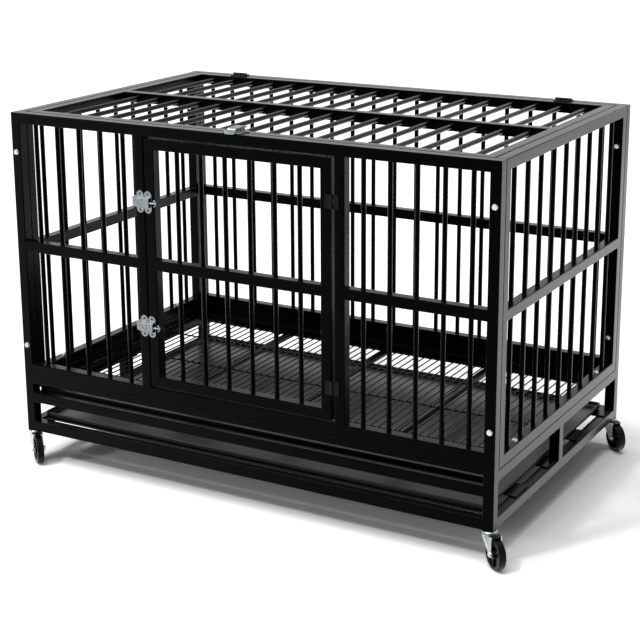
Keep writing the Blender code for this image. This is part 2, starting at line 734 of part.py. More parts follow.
def make_latch(name, matrix, zinc):
    """Makes the keeper, body and bolt of a latch drawn about its seam."""
    make_piece(name + "_keeper", latch_keeper_shape(), zinc, matrix)
    make_piece(name + "_body", latch_body_shape(), zinc, matrix)
    make_piece(name + "_bolt", latch_bolt_shape(), zinc, matrix)


def make_bolt(name, point, turn, grip, zinc):
    """Makes a bolt with its nut, through a grip that starts at a point."""
    nut = grip + GAP
    profile = (
        (BOLT_HEAD_RADIUS - BOLT_HEAD_CROWN, -BOLT_HEAD_HEIGHT),
        (BOLT_HEAD_RADIUS, BOLT_HEAD_CROWN - BOLT_HEAD_HEIGHT),
        (BOLT_HEAD_RADIUS, -GAP),
        (BOLT_RADIUS, -GAP),
        (BOLT_RADIUS, nut),
        (NUT_RADIUS, nut),
        (NUT_RADIUS, nut + NUT_HEIGHT),
        (BOLT_RADIUS, nut + NUT_HEIGHT),
        (BOLT_RADIUS, nut + NUT_HEIGHT + BOLT_TIP),
    )
    shape = bmesh.new()
    add_turned(shape, profile, BOLT_SIDES, turn)
    matrix = Matrix.Translation(CAGE_CORNER + Vector(point))
    make_piece(name, shape, zinc, matrix)


def make_bolts(zinc):
    """Makes the bolts through the corner posts and through the base rails."""
    grip = 2 * TUBE + GAP
    backward = Matrix.Rotation(math.radians(-90), 4, "X")
    forward = Matrix.Rotation(math.radians(90), 4, "X")
    downward = Matrix.Rotation(math.radians(180), 4, "X")
    head_level = BASE_SIDE_HEIGHT + GAP + TUBE
    for side, x in EDGES.items():
        for level, z in BOLT_HEIGHTS.items():
            front_name = f"corner_bolt_front_{side}_{level}"
            make_bolt(front_name, (x, 0, z), backward, grip, zinc)
            rear_name = f"corner_bolt_rear_{side}_{level}"
            make_bolt(rear_name, (x, CAGE_DEPTH, z), forward, grip, zinc)
        front = (x, BASE_BOLT_INSET, head_level)
        make_bolt(f"base_bolt_front_{side}", front, downward, grip, zinc)
        rear = (x, CAGE_DEPTH - BASE_BOLT_INSET, head_level)
        make_bolt(f"base_bolt_rear_{side}", rear, downward, grip, zinc)


def crown_top():
    """Returns the height of the fork's crown above the floor."""
    return CASTER_HEIGHT - 2 * GAP - CUP_HEIGHT


def caster_stem_shape():
    """Draws the fixed stem: threaded shank, ball cup and riveted king pin."""
    cup_top = CASTER_HEIGHT - GAP
    cup_bottom = cup_top - CUP_HEIGHT
    crown_bottom = crown_top() - FORK_CROWN
    rivet_top = crown_bottom - GAP
    profile = (
        (STEM_RADIUS, CASTER_HEIGHT + STEM_LENGTH),
        (STEM_RADIUS, cup_top),
        (CUP_RADIUS, cup_top),
        (CUP_RADIUS, cup_bottom),
        (KING_PIN_RADIUS, cup_bottom),
        (KING_PIN_RADIUS, rivet_top),
        (KING_PIN_HEAD, rivet_top),
        (KING_PIN_HEAD, rivet_top - KING_PIN_HEAD_HEIGHT),
    )
    shape = bmesh.new()
    add_turned(shape, profile, STEM_SIDES, Matrix.Identity(4))
    return shape


def caster_fork_shape():
    """Draws the fork: a crown with two tapered legs, bored for its three pins."""
    top = crown_top()
    heel = CASTER_TRAIL + FORK_HEEL
    outline = (
        (-FORK_FRONT, top),
        (heel, top),
        (heel, WHEEL_RADIUS + FORK_HEEL_RISE),
        (CASTER_TRAIL, WHEEL_RADIUS - FORK_TIP_DROP),
        (CASTER_TRAIL - FORK_TOE, WHEEL_RADIUS),
        (-FORK_FRONT, top - FORK_FRONT_DROP),
    )
    shape = bmesh.new()
    add_plate(shape, outline, -FORK_OUTER_HALF, FORK_OUTER_HALF)
    slot = bmesh.new()
    low = (-2 * FORK_FRONT, -FORK_INNER_HALF, 0)
    add_box(slot, low, (2 * CASTER_TRAIL, FORK_INNER_HALF, top - FORK_CROWN))
    shape = combine(shape, slot, "DIFFERENCE")
    pedal_bay = bmesh.new()
    low = (CROWN_REAR, -FORK_INNER_HALF, 0)
    add_box(pedal_bay, low, (2 * CASTER_TRAIL, FORK_INNER_HALF, 2 * top))
    shape = combine(shape, pedal_bay, "DIFFERENCE")
    holes = bmesh.new()
    king_pin = KING_PIN_RADIUS + GAP
    add_bar(holes, (0, 0, top - 2 * FORK_CROWN), (0, 0, 2 * top), king_pin, STEM_SIDES)
    for point, radius, sides in (
        ((CASTER_TRAIL, WHEEL_RADIUS), AXLE_RADIUS + AXLE_CLEARANCE, STEM_SIDES),
        ((PEDAL_PIVOT_X, pedal_pivot_height()), PEDAL_PIN_RADIUS + GAP, PEDAL_SIDES),
    ):
        x, z = point
        near = (x, -2 * FORK_OUTER_HALF, z)
        add_bar(holes, near, (x, 2 * FORK_OUTER_HALF, z), radius, sides)
    return combine(shape, holes, "DIFFERENCE")


def caster_wheel_shape():
    """Draws the wheel about its own centre, with a recessed web and a bored hub."""
    bore = AXLE_RADIUS + AXLE_CLEARANCE
    half = WHEEL_WIDTH / 2
    side = (
        (bore, HUB_WIDTH / 2),
        (HUB_RADIUS, HUB_WIDTH / 2),
        (HUB_RADIUS, WEB_THICKNESS / 2),
        (RIM_INNER_RADIUS, WEB_THICKNESS / 2),
        (RIM_INNER_RADIUS, half),
        (WHEEL_RADIUS - TREAD_ROUND, half),
        (WHEEL_RADIUS, half - TREAD_ROUND),
    )
    profile = side + tuple((radius, -height) for radius, height in reversed(side))
    turn = Matrix.Rotation(math.radians(90), 4, "X")
    shape = bmesh.new()
    add_turned(shape, profile, WHEEL_SIDES, turn, bored=True)
    return shape


def caster_axle_shape():
    """Draws the axle bolt with its head and nut outside the legs."""
    seat = FORK_OUTER_HALF + GAP
    end = seat + AXLE_HEAD_HEIGHT
    profile = (
        (AXLE_HEAD_RADIUS, -end),
        (AXLE_HEAD_RADIUS, -seat),
        (AXLE_RADIUS, -seat),
        (AXLE_RADIUS, seat),
        (AXLE_HEAD_RADIUS, seat),
        (AXLE_HEAD_RADIUS, end),
    )
    turn = Matrix.Rotation(math.radians(90), 4, "X")
    shape = bmesh.new()
    add_turned(shape, profile, STEM_SIDES, turn)
    return shape


def pedal_pivot_height():
    """Returns the height of the brake pedal's pin above the floor."""
    return crown_top() - PEDAL_PIVOT_DROP


def caster_brake_shape():
    """Draws the brake pedal about its pin: a plate with a lip on a pinned barrel."""
    inner = FORK_INNER_HALF - GAP
    outer = FORK_OUTER_HALF
    profile = (
        (PEDAL_PIN_RADIUS, -outer),
        (PEDAL_PIN_RADIUS, -inner),
        (PEDAL_BARREL_RADIUS, -inner),
        (PEDAL_BARREL_RADIUS, inner),
        (PEDAL_PIN_RADIUS, inner),
        (PEDAL_PIN_RADIUS, outer),
    )
    shape = bmesh.new()
    add_turned(shape, profile, PEDAL_SIDES, Matrix.Rotation(math.radians(90), 4, "X"))
    bottom = PEDAL_RISE - PEDAL_SHEET / 2
    top = PEDAL_RISE + PEDAL_SHEET / 2
    outline = (
        (0.0, top),
        (PEDAL_FLAT, top),
        (PEDAL_REACH, top + PEDAL_LIP),
        (PEDAL_REACH, bottom + PEDAL_LIP),
        (PEDAL_FLAT, bottom),
        (0.0, bottom),
    )
    plate = bmesh.new()
    add_plate(plate, outline, -PEDAL_HALF_WIDTH, PEDAL_HALF_WIDTH)
    return combine(shape, plate, "UNION")


def make_caster(name, x, y, zinc, rubber, enamel):
    """Makes one caster under a post, its pieces parented to a turned empty."""
    place = bpy.data.objects.new(name + "_place", None)
    bpy.context.collection.objects.link(place)
    corner = Vector((CAGE_CORNER.x + x, CAGE_CORNER.y + y, 0.0))
    place.location = corner
    place.rotation_euler = (0.0, 0.0, CASTER_HEADING)
    axle = Matrix.Translation((CASTER_TRAIL, 0.0, WHEEL_RADIUS))
    pedal = Matrix.Translation((PEDAL_PIVOT_X, 0.0, pedal_pivot_height()))
    pedal @= Matrix.Rotation(-PEDAL_LIFT, 4, "Y")
    pieces = (
        ("_stem", caster_stem_shape(), zinc, Matrix.Identity(4)),
        ("_fork", caster_fork_shape(), zinc, Matrix.Identity(4)),
        ("_wheel", caster_wheel_shape(), rubber, axle),
        ("_axle", caster_axle_shape(), zinc, axle),
        ("_brake", caster_brake_shape(), enamel, pedal),
    )
    for suffix, shape, material, matrix in pieces:
        piece = make_piece(name + suffix, shape, material, matrix)
        piece.parent = place


def front_fitting(x, z, height=0.0):
    """Returns the place of a fitting on the front face."""
    return Matrix.Translation(CAGE_CORNER + Vector((x, -height, z)))


def roof_fitting(x, y, height=0.0):
    """Returns the place of a fitting on the roof."""
    point = CAGE_CORNER + Vector((x, y, CAGE_HEIGHT + height))
    return Matrix.Translation(point) @ ROOF_TURN


def make_fittings(enamel, zinc):
    """Makes the hinges and latches of both doors."""
    for level, z in DOOR_HINGE_HEIGHTS.items():
        place = front_fitting(front_hinge_axis(), z, HINGE_AXIS_HEIGHT)
        make_hinge(f"door_hinge_{level}", FRONT_HINGE_LENGTH, place, enamel)
    inset = ROOF_HINGE_INSET
    for side, x in (("left", inset), ("right", CAGE_WIDTH - inset)):
        place = roof_fitting(x, roof_hinge_axis(), HINGE_AXIS_HEIGHT)
        make_hinge(f"roof_hinge_{side}", ROOF_HINGE_LENGTH, place, enamel)
    seam = (CAGE_WIDTH - DOOR_OPENING_WIDTH + DOOR_LATCH_GAP) / 2
    for level, z in DOOR_LATCH_HEIGHTS.items():
        make_latch(f"door_latch_{level}", front_fitting(seam, z), zinc)
    roof_seam = TUBE + ROOF_DOOR_GAP / 2
    roof_latch_x = CAGE_WIDTH / 2 + ROOF_LATCH_OFFSET
    make_latch("roof_latch", roof_fitting(roof_latch_x, roof_seam), zinc)


def main():
    """Builds every piece of the cage."""
    clear_scene()
    steel = make_material("black powder coated steel", (0.02, 0.02, 0.021), 0.4, 0.0)
    enamel = make_material("black enamelled steel", (0.012, 0.012, 0.013), 0.35, 0.0)
    zinc = make_material("zinc plated steel", (0.62, 0.63, 0.64), 0.32, 1.0)
    rubber = make_material("black wheel rubber", (0.018, 0.018, 0.02), 0.6, 0.0)
    tray_coat = make_material("grey coated tray sheet", (0.06, 0.06, 0.065), 0.3, 0.0)
    make_cage_piece("base_frame", base_frame_shape(), steel)
    make_cage_piece("front_panel", front_panel_shape(), steel)
    make_cage_piece("back_panel", back_panel_shape(), steel)
    for side, edge in EDGES.items():
        make_cage_piece(f"{side}_side_panel", side_panel_shape(edge), steel)
    make_cage_piece("floor_grate", floor_grate_shape(), steel)
    make_cage_piece("waste_tray", waste_tray_shape(), tray_coat)
    make_front_door(steel)
    make_roof_door(steel)
    make_fittings(enamel, zinc)
    make_bolts(zinc)
    for end, y in ENDS.items():
        for side, x in EDGES.items():
            make_caster(f"caster_{end}_{side}", x, y, zinc, rubber, enamel)


main()
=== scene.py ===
"""Looks of the barred steel dog cage: rounded tubes, fittings, finishes, light and camera.

Pieces are drawn in cage coordinates, in metres: x from the left face, y from the front
face and z from the underside of the base frame. Every overall size is read from the
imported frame, and every section, radius and weld is a named value of its own class.
"""

import json
import logging
import math
from dataclasses import dataclass
from enum import Enum
from typing import Sequence

import bmesh
import bpy
from mathutils import Matrix, Vector


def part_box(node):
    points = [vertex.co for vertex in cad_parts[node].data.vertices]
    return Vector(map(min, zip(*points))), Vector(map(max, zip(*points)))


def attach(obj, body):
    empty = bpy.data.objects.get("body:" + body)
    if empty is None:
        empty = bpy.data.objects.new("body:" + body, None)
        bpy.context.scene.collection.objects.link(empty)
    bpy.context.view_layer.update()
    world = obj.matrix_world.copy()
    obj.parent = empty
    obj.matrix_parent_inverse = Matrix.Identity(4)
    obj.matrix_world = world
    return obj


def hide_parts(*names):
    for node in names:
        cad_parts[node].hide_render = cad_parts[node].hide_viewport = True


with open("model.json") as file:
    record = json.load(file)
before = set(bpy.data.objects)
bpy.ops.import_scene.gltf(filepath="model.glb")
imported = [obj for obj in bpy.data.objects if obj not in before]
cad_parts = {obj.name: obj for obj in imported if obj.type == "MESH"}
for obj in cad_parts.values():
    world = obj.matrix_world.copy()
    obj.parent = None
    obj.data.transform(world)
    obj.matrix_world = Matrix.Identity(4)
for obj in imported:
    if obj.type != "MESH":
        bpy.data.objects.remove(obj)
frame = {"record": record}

LOG = logging.getLogger("dog_cage")
MILLIMETRE = 0.001
IMAGE_SIZE = 640
SMOOTH_ANGLE = math.radians(38)
DOOR_HINGE_LENGTH = 0.030
ROOF_HINGE_LENGTH = 0.039
HOME = Matrix.Identity(4).freeze()

Point = tuple[float, float]
Points = Sequence[Point]
Loop = list[Vector]


def linear(hex_colour: str) -> tuple[float, float, float, float]:
    """Turns an sRGB hex value to linear red, green, blue and alpha.

    Args:
        hex_colour: six hex digits with a leading #.

    Returns:
        The linear colour with alpha 1.
    """
    channels = []
    for start in (1, 3, 5):
        value = int(hex_colour[start:start + 2], 16) / 255
        low = value / 12.92
        high = ((value + 0.055) / 1.055) ** 2.4
        channels.append(low if value <= 0.04045 else high)
    return (*channels, 1.0)


def fill(node: bpy.types.Node, inputs: dict[object, object]) -> None:
    """Sets or links a node's inputs.

    Args:
        node: the node.
        inputs: a value, or an output socket to link, for each input name or number.
    """
    for name, value in inputs.items():
        if isinstance(value, bpy.types.NodeSocket):
            node.id_data.links.new(value, node.inputs[name])
        else:
            node.inputs[name].default_value = value


def add_node(
    tree: bpy.types.NodeTree, kind: str, inputs: dict[object, object], **settings: object
) -> bpy.types.Node:
    """Adds a node with its settings and inputs.

    Args:
        tree: the node tree that gets the node.
        kind: the node's type name.
        inputs: what fill sets or links.
        **settings: values of the node's own properties.

    Returns:
        The new node.
    """
    node = tree.nodes.new(kind)
    for name, value in settings.items():
        setattr(node, name, value)
    fill(node, inputs)
    return node


def add_item(name: str, data: bpy.types.ID) -> bpy.types.Object:
    """Adds an object to the scene.

    Args:
        name: its name.
        data: its mesh, curve, light or camera.

    Returns:
        The object.
    """
    item = bpy.data.objects.new(name, data)
    bpy.context.collection.objects.link(item)
    return item


@dataclass(frozen=True)
class Finish:
    """A surface finish of one colour with a fine grain, mottle and soft wear."""

    name: str  # the finish in a maker's words
    colour: str  # the base colour as sRGB hex
    worn: str  # the colour of the mottle's other end, as sRGB hex
    roughness: float  # the mean roughness
    spread: float = 0.05  # how far the roughness moves either way
    metallic: float = 0.0  # 0 for paint or plastic, 1 for bare metal
    grain_mm: float = 1.5  # the real size of the surface's grain
    grain_bump_mm: float = 0.03  # the height of that grain
    mottle_mm: float = 60.0  # the size of the slow colour change
    # facing below 1 darkens the faces seen head-on: painted shade for darker surroundings than the
    # studio has
    facing: float = 1.0  # how much of the straight-on reflection is left
    index: float = 1.5  # the refractive index of its gloss
    bump_strength: float = 0.4  # how strongly the grain turns the light

    def build(self) -> bpy.types.Material:
        """Builds the material.

        Returns:
            The node material, patterned on Object coordinates.
        """
        material = bpy.data.materials.new(self.name)
        material.use_nodes = True
        tree = material.node_tree
        place = add_node(tree, "ShaderNodeTexCoord", {}).outputs["Object"]
        patterns = []
        for size_mm, detail in ((self.mottle_mm, 3.0), (self.grain_mm, 2.0)):
            cells = {"Vector": place, "Scale": 1 / (size_mm * MILLIMETRE), "Detail": detail}
            patterns.append(add_node(tree, "ShaderNodeTexNoise", cells).outputs[0])
        mottle, grain = patterns
        ends = {0: mottle, 6: linear(self.colour), 7: linear(self.worn)}
        limits = {0: mottle, 3: self.roughness - self.spread, 4: self.roughness + self.spread}
        relief = {
            "Strength": self.bump_strength,
            "Distance": self.grain_bump_mm * MILLIMETRE,
            "Height": grain,
        }
        surface = {
            "Base Color": add_node(tree, "ShaderNodeMix", ends, data_type="RGBA").outputs[2],
            "Roughness": add_node(tree, "ShaderNodeMapRange", limits).outputs[0],
            "Normal": add_node(tree, "ShaderNodeBump", relief).outputs[0],
            "Metallic": self.metallic,
            "IOR": self.index,
            # the facing value tints the head-on reflection down: painted shade on faces seen head-on
            "Specular Tint": (self.facing, self.facing, self.facing, 1.0),
        }
        fill(tree.nodes["Principled BSDF"], surface)
        return material


class Coat(Enum):
    """The cage's finishes, named by the record's material slots."""

    # Polyester powder coat on steel tube: deep black, semi-gloss, with a faint orange peel
    FRAME = (
        "black_steel",
        Finish(
            "black powder coat", "#050506", "#080808", 0.25, 0.04,
            # facing 0 takes out the head-on reflection: painted shade that keeps the faces towards
            # the camera near black
            grain_bump_mm=0.002, facing=0.0, index=1.32,
        ),
    )
    # Gloss stoved enamel on the hinges: black with small hard highlights. The brake pedals take this
    # black as well, partly as painted shade for the dark gap under the fork's crown where they sit
    HINGE = ("hinge_black", Finish("black stoved enamel", "#090909", "#0e0e0f", 0.22, facing=0.15))
    # Zinc plate on the pressed latches: cloudy, and darkened to mid grey as painted shade for the
    # dark surroundings that their faces should reflect
    ZINC = (
        "zinc",
        Finish("zinc plate darkened by painted shade", "#959a9d", "#6f7477", 0.25, 0.08, 1.0, 0.8, 0.03, 9.0),
    )
    # A lighter copy of the zinc on the casters' metal and the panels' bolts: pale and slightly blue,
    # lightened as painted light where the casters' faces look at the shaded floor
    BRIGHT = (
        "zinc",
        Finish("bright zinc plate", "#d6dadc", "#b4babd", 0.24, 0.06, 1.0, 0.8, 0.02, 12.0),
    )
    # Moulded black nylon and rubber of the caster wheels: deep black with a soft gloss
    WHEEL = (
        "wheel_rubber",
        Finish("moulded black wheel rubber", "#080809", "#0e0e0f", 0.26, facing=0.12),
    )
    # Coated sheet of the waste tray: dark grey and glossy
    TRAY = (
        "tray_coat",
        Finish(
            "grey coated tray sheet", "#1a1b1d", "#212224", 0.30, 0.02,
            grain_bump_mm=0.005, mottle_mm=250.0, facing=0.5,
        ),
    )

    def __init__(self, slot: str, finish: Finish) -> None:
        """Keeps the record's material slot, and builds the finish's material once."""
        self.slot = slot
        self.material = finish.build()


@dataclass(frozen=True)
class Cage:
    """The cage's overall sizes and its corner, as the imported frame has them."""

    corner: Vector  # the base frame's front left foot in the world
    width: float
    depth: float
    height: float  # from the base frame's underside
    tube: float  # the side of the square tube

    @classmethod
    def measure(cls) -> "Cage":
        """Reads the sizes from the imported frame.

        Returns:
            The measured cage.
        """
        low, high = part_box("base_frame")
        panel_low, panel_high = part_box("front_panel")
        size = high - low
        return cls(low, size.x, size.y, panel_high.z - low.z, panel_high.y - panel_low.y)

    def box(self, node: str) -> tuple[Vector, Vector]:
        """Returns a node's corners in cage coordinates."""
        low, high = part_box(node)
        return low - self.corner, high - self.corner


CAGE = Cage.measure()
BODIES = {
    node: body
    for body, nodes in frame["record"]["behaviour"]["bodies"].items()
    for node in nodes
}


def spread_out(low: float, high: float, pitch: float) -> tuple[int, float]:
    """Works out the row of bars that fits a clear width.

    Args:
        low: where the clear width starts.
        high: where it ends.
        pitch: the spacing of the bars.

    Returns:
        How many bars fit, and the place of the first.
    """
    count = int((high - low) / pitch)
    return count, (low + high - pitch * (count - 1)) / 2


def axes(
    across: Sequence[float], up: Sequence[float], origin: Sequence[float] = (0, 0, 0)
) -> Matrix:
    """Builds a right-handed placement from two axes and an origin.

    Args:
        across: where the drawing's x axis points.
        up: where the drawing's y axis points.
        origin: where the drawing's origin lies.

    Returns:
        The placement; the drawing's z axis is across times up.
    """
    first = Vector(across)
    second = Vector(up)
    turn = Matrix((first, second, first.cross(second))).transposed().to_4x4()
    return Matrix.Translation(Vector(origin)) @ turn


# Stands a drawing's x and y up as the x and z of what carries it
SIDE_VIEW = axes((1, 0, 0), (0, 0, 1)).freeze()


def arc(centre: Point, radius: float, start: float, end: float, steps: int = 8) -> list[Point]:
    """Draws an arc.

    Args:
        centre: its centre.
        radius: its radius.
        start: its first angle, in degrees.
        end: its last angle, in degrees.
        steps: how many facets it has.

    Returns:
        Its points, both ends included.
    """
    points = []
    for step in range(steps + 1):
        angle = math.radians(start + (end - start) * step / steps)
        points.append((centre[0] + radius * math.cos(angle), centre[1] + radius * math.sin(angle)))
    return points


def rounded_rectangle(low: Point, high: Point, radius: float, steps: int = 4) -> list[Point]:
    """Draws a rectangle with round corners, anticlockwise.

    Args:
        low: the lowest corner.
        high: the highest corner.
        radius: the corner radius.
        steps: how many facets each corner has.

    Returns:
        The outline's points.
    """
    left, right = low[0] + radius, high[0] - radius
    bottom, top = low[1] + radius, high[1] - radius
    points = []
    for turn, centre in enumerate(((right, bottom), (right, top), (left, top), (left, bottom))):
        points += arc(centre, radius, 90 * turn - 90, 90 * turn, steps)
    return points


def flat_bar(width: float, height: float, radius: float = 0.0, steps: int = 2) -> list[Point]:
    """Draws a bar's section about its middle.

    Args:
        width: its width.
        height: its height.
        radius: its edge radius, or 0 for a quarter of its thinner side.
        steps: how many facets each edge has.

    Returns:
        The outline's points.
    """
    radius = radius or min(width, height) / 4
    return rounded_rectangle((-width / 2, -height / 2), (width / 2, height / 2), radius, steps)


def ring(radius: float, height: float, sides: int) -> Loop:
    """Draws a circle about the z axis.

    Args:
        radius: its radius.
        height: its height.
        sides: how many facets go round.

    Returns:
        Its points.
    """
    return [Vector((x, y, height)) for x, y in arc((0.0, 0.0), radius, 0, 360, sides)[:-1]]


def shifted(corner: Point, steps: Points) -> list[Point]:
    """Returns the points that lie at the given steps from a corner."""
    return [(corner[0] + x, corner[1] + y) for x, y in steps]


def mirrored(points: Points) -> list[Point]:
    """Returns an outline's points mirrored in the x axis, in reverse order."""
    return [(x, -y) for x, y in reversed(points)]


def middle(node: str, axis: int) -> float:
    """Returns the middle of a node's box along one axis, in cage coordinates."""
    low, high = CAGE.box(node)
    return (low[axis] + high[axis]) / 2


class Workpiece:
    """A mesh under construction, drawn in cage coordinates.

    Its place says where the next drawing stands, and may change from one to the next.
    """

    MERGE = 1e-6
    # The rings of a wire's domed end: how far out and how wide, as shares of its radius
    DOME = ((0.9, 0.35), (0.6, 0.78))
    # A hexagon's facets, and its chamfer's depth, upper part and inner radius, as shares
    HEXAGON_FACETS = 48
    CHAMFER = 0.9
    CHAMFER_TOP = 0.25
    CHAMFER_FACE = 0.93

    def __init__(self, place: Matrix = HOME) -> None:
        """Starts an empty mesh, and keeps the first drawing's place."""
        self.shape = bmesh.new()
        self.place = place

    def loft(self, loops: Sequence[Loop], closed: bool = False) -> None:
        """Skins a row of loops that have as many points each.

        Args:
            loops: the loops, in order.
            closed: whether the last loop joins the first, with no end faces.
        """
        rings = [[self.shape.verts.new(self.place @ point) for point in loop] for loop in loops]
        following = rings[1:] + (rings[:1] if closed else [])
        faces = []
        for near, far in zip(rings, following):
            for step in range(len(near)):
                after = (step + 1) % len(near)
                corners = (near[step], near[after], far[after], far[step])
                faces.append(self.shape.faces.new(corners))
        if not closed:
            faces += [self.shape.faces.new(rings[0]), self.shape.faces.new(rings[-1])]
        bmesh.ops.recalc_face_normals(self.shape, faces=faces)

    def tube(self, start: Sequence[float], end: Sequence[float], section: Points) -> None:
        """Adds a straight tube with flat ends.

        Args:
            start: the start of its centre line.
            end: the end of its centre line, along one axis of the drawing.
            section: its outline about the centre line, along the next two axes.
        """
        centres = (Vector(start), Vector(end))
        run = centres[1] - centres[0]
        along = max(range(3), key=lambda axis: abs(run[axis]))
        first = Vector([float(axis == (along + 1) % 3) for axis in range(3)])
        second = Vector([float(axis == (along + 2) % 3) for axis in range(3)])
        self.loft([[centre + first * a + second * b for a, b in section] for centre in centres])

    def mitred_frame(
        self, low: Sequence[float], high: Sequence[float], section: Points
    ) -> None:
        """Adds a rectangular frame of tube with mitred corners, in the drawing's x and y.

        Args:
            low: the lowest corner of the centre line, with its z.
            high: the highest corner of the centre line.
            section: the tube's outline, outward and along z.
        """
        loops = []
        for right, top in ((-1, -1), (1, -1), (1, 1), (-1, 1)):
            x = high[0] if right > 0 else low[0]
            y = high[1] if top > 0 else low[1]
            loops.append([Vector((x + right * a, y + top * a, low[2] + b)) for a, b in section])
        self.loft(loops, closed=True)

    def turned(self, profile: Points, sides: int, bored: bool = False) -> None:
        """Adds a solid turned about the drawing's z axis.

        Args:
            profile: its (radius, height) points in order.
            sides: how many facets go round.
            bored: whether the profile closes on itself round a bore.
        """
        self.loft([ring(radius, height, sides) for radius, height in profile], closed=bored)

    def add_mesh(self, mesh: bpy.types.Mesh, stand: Matrix = HOME) -> None:
        """Adds a copy of a mesh, and frees the mesh.

        Args:
            mesh: the mesh.
            stand: where it stands in the drawing.
        """
        known = len(self.shape.verts)
        self.shape.from_mesh(mesh)
        self.shape.verts.ensure_lookup_table()
        added = self.shape.verts[known:]
        bmesh.ops.transform(self.shape, matrix=self.place @ stand, verts=added)
        bpy.data.meshes.remove(mesh)

    def plate(
        self, outlines: Sequence[Points], low: float, high: float, edge: float = 0.0004
    ) -> None:
        """Adds a flat plate with softened edges, in the drawing's x and y.

        Args:
            outlines: the outer outline, then one for each hole.
            low: the plate's lower face.
            high: its upper face.
            edge: the radius of its softened edges.
        """
        curve = bpy.data.curves.new("cut_plate", "CURVE")
        curve.dimensions = "2D"
        curve.fill_mode = "BOTH"
        curve.extrude = (high - low) / 2 - edge
        curve.bevel_depth = edge
        curve.bevel_resolution = 1
        curve.offset = -edge
        for outline in outlines:
            spline = curve.splines.new("POLY")
            spline.points.add(len(outline) - 1)
            for point, (x, y) in zip(spline.points, outline):
                point.co = (x, y, 0.0, 1.0)
            spline.use_cyclic_u = True
        blank = add_item("cut_plate", curve)
        graph = bpy.context.evaluated_depsgraph_get()
        mesh = bpy.data.meshes.new_from_object(blank.evaluated_get(graph))
        bpy.data.objects.remove(blank)
        bpy.data.curves.remove(curve)
        plate = bmesh.new()
        plate.from_mesh(mesh)
        bmesh.ops.remove_doubles(plate, verts=plate.verts, dist=self.MERGE)
        bmesh.ops.recalc_face_normals(plate, faces=plate.faces)
        plate.to_mesh(mesh)
        plate.free()
        self.add_mesh(mesh, Matrix.Translation((0, 0, (low + high) / 2)))

    def bent_wire(self, path: Sequence[Sequence[float]], radius: float, sides: int) -> None:
        """Adds a round wire with domed ends along a path.

        Args:
            path: the points of its centre line.
            radius: its radius.
            sides: how many facets go round.
        """
        centres = [Vector(point) for point in path]
        last = len(centres) - 1
        loops = []
        for step, centre in enumerate(centres):
            ahead = centres[min(step + 1, last)] - centres[max(step - 1, 0)]
            turn = ahead.to_track_quat("Z", "Y").to_matrix()
            rings = [(0.0, 1.0)]
            if step == 0:
                rings = [(-along, share) for along, share in self.DOME] + rings
            elif step == last:
                rings += reversed(self.DOME)
            for along, share in rings:
                circle = ring(share * radius, along * radius, sides)
                loops.append([centre + turn @ spot for spot in circle])
        self.loft(loops)

    def hexagon(self, radius: float, low: float, high: float, both: bool = False) -> None:
        """Adds a hexagonal head or nut with a turned chamfer, about the drawing's z axis.

        Args:
            radius: the radius over its corners.
            low: its seat.
            high: its outer face.
            both: whether the seat is chamfered too.
        """
        flat = radius * math.cos(math.pi / 6)
        cut = (radius - flat) * self.CHAMFER
        chamfer = ((0.0, flat * self.CHAMFER_FACE), (cut * self.CHAMFER_TOP, flat), (cut, radius))
        levels = [(high - drop, limit) for drop, limit in chamfer]
        if both:
            levels += [(low + rise, limit) for rise, limit in reversed(chamfer)]
        else:
            levels.append((low, radius))
        loops = []
        for height, limit in levels:
            loop = []
            for step in range(self.HEXAGON_FACETS):
                angle = math.tau * step / self.HEXAGON_FACETS
                off = (angle + math.pi / 6) % (math.pi / 3) - math.pi / 6
                reach = min(flat / math.cos(off), limit)
                loop.append(Vector((reach * math.cos(angle), reach * math.sin(angle), height)))
            loops.append(loop)
        self.loft(loops)

    def make_object(self, name: str) -> bpy.types.Object:
        """Turns the workpiece into an object.

        Args:
            name: the name of the object and of its mesh.

        Returns:
            The object, which a node tree may copy.
        """
        mesh = bpy.data.meshes.new(name)
        self.shape.to_mesh(mesh)
        self.shape.free()
        return add_item(name, mesh)

    def finish(self, node: str, coat: Coat, others: Sequence[str] = ()) -> None:
        """Turns the workpiece into the piece that stands for one or more CAD nodes.

        Args:
            node: the CAD node that it replaces.
            coat: its finish.
            others: further nodes of the same body that it replaces.
        """
        self.shape.transform(Matrix.Translation(CAGE.corner))
        piece = self.make_object(node + "_finished")
        piece.data.materials.append(coat.material)
        piece.data.shade_smooth()
        piece.data.set_sharp_from_angle(angle=SMOOTH_ANGLE)
        weights = piece.modifiers.new("flat faces", "WEIGHTED_NORMAL")
        weights.keep_sharp = True
        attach(piece, BODIES[node])
        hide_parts(node, *others)
        LOG.info("made %s", node)


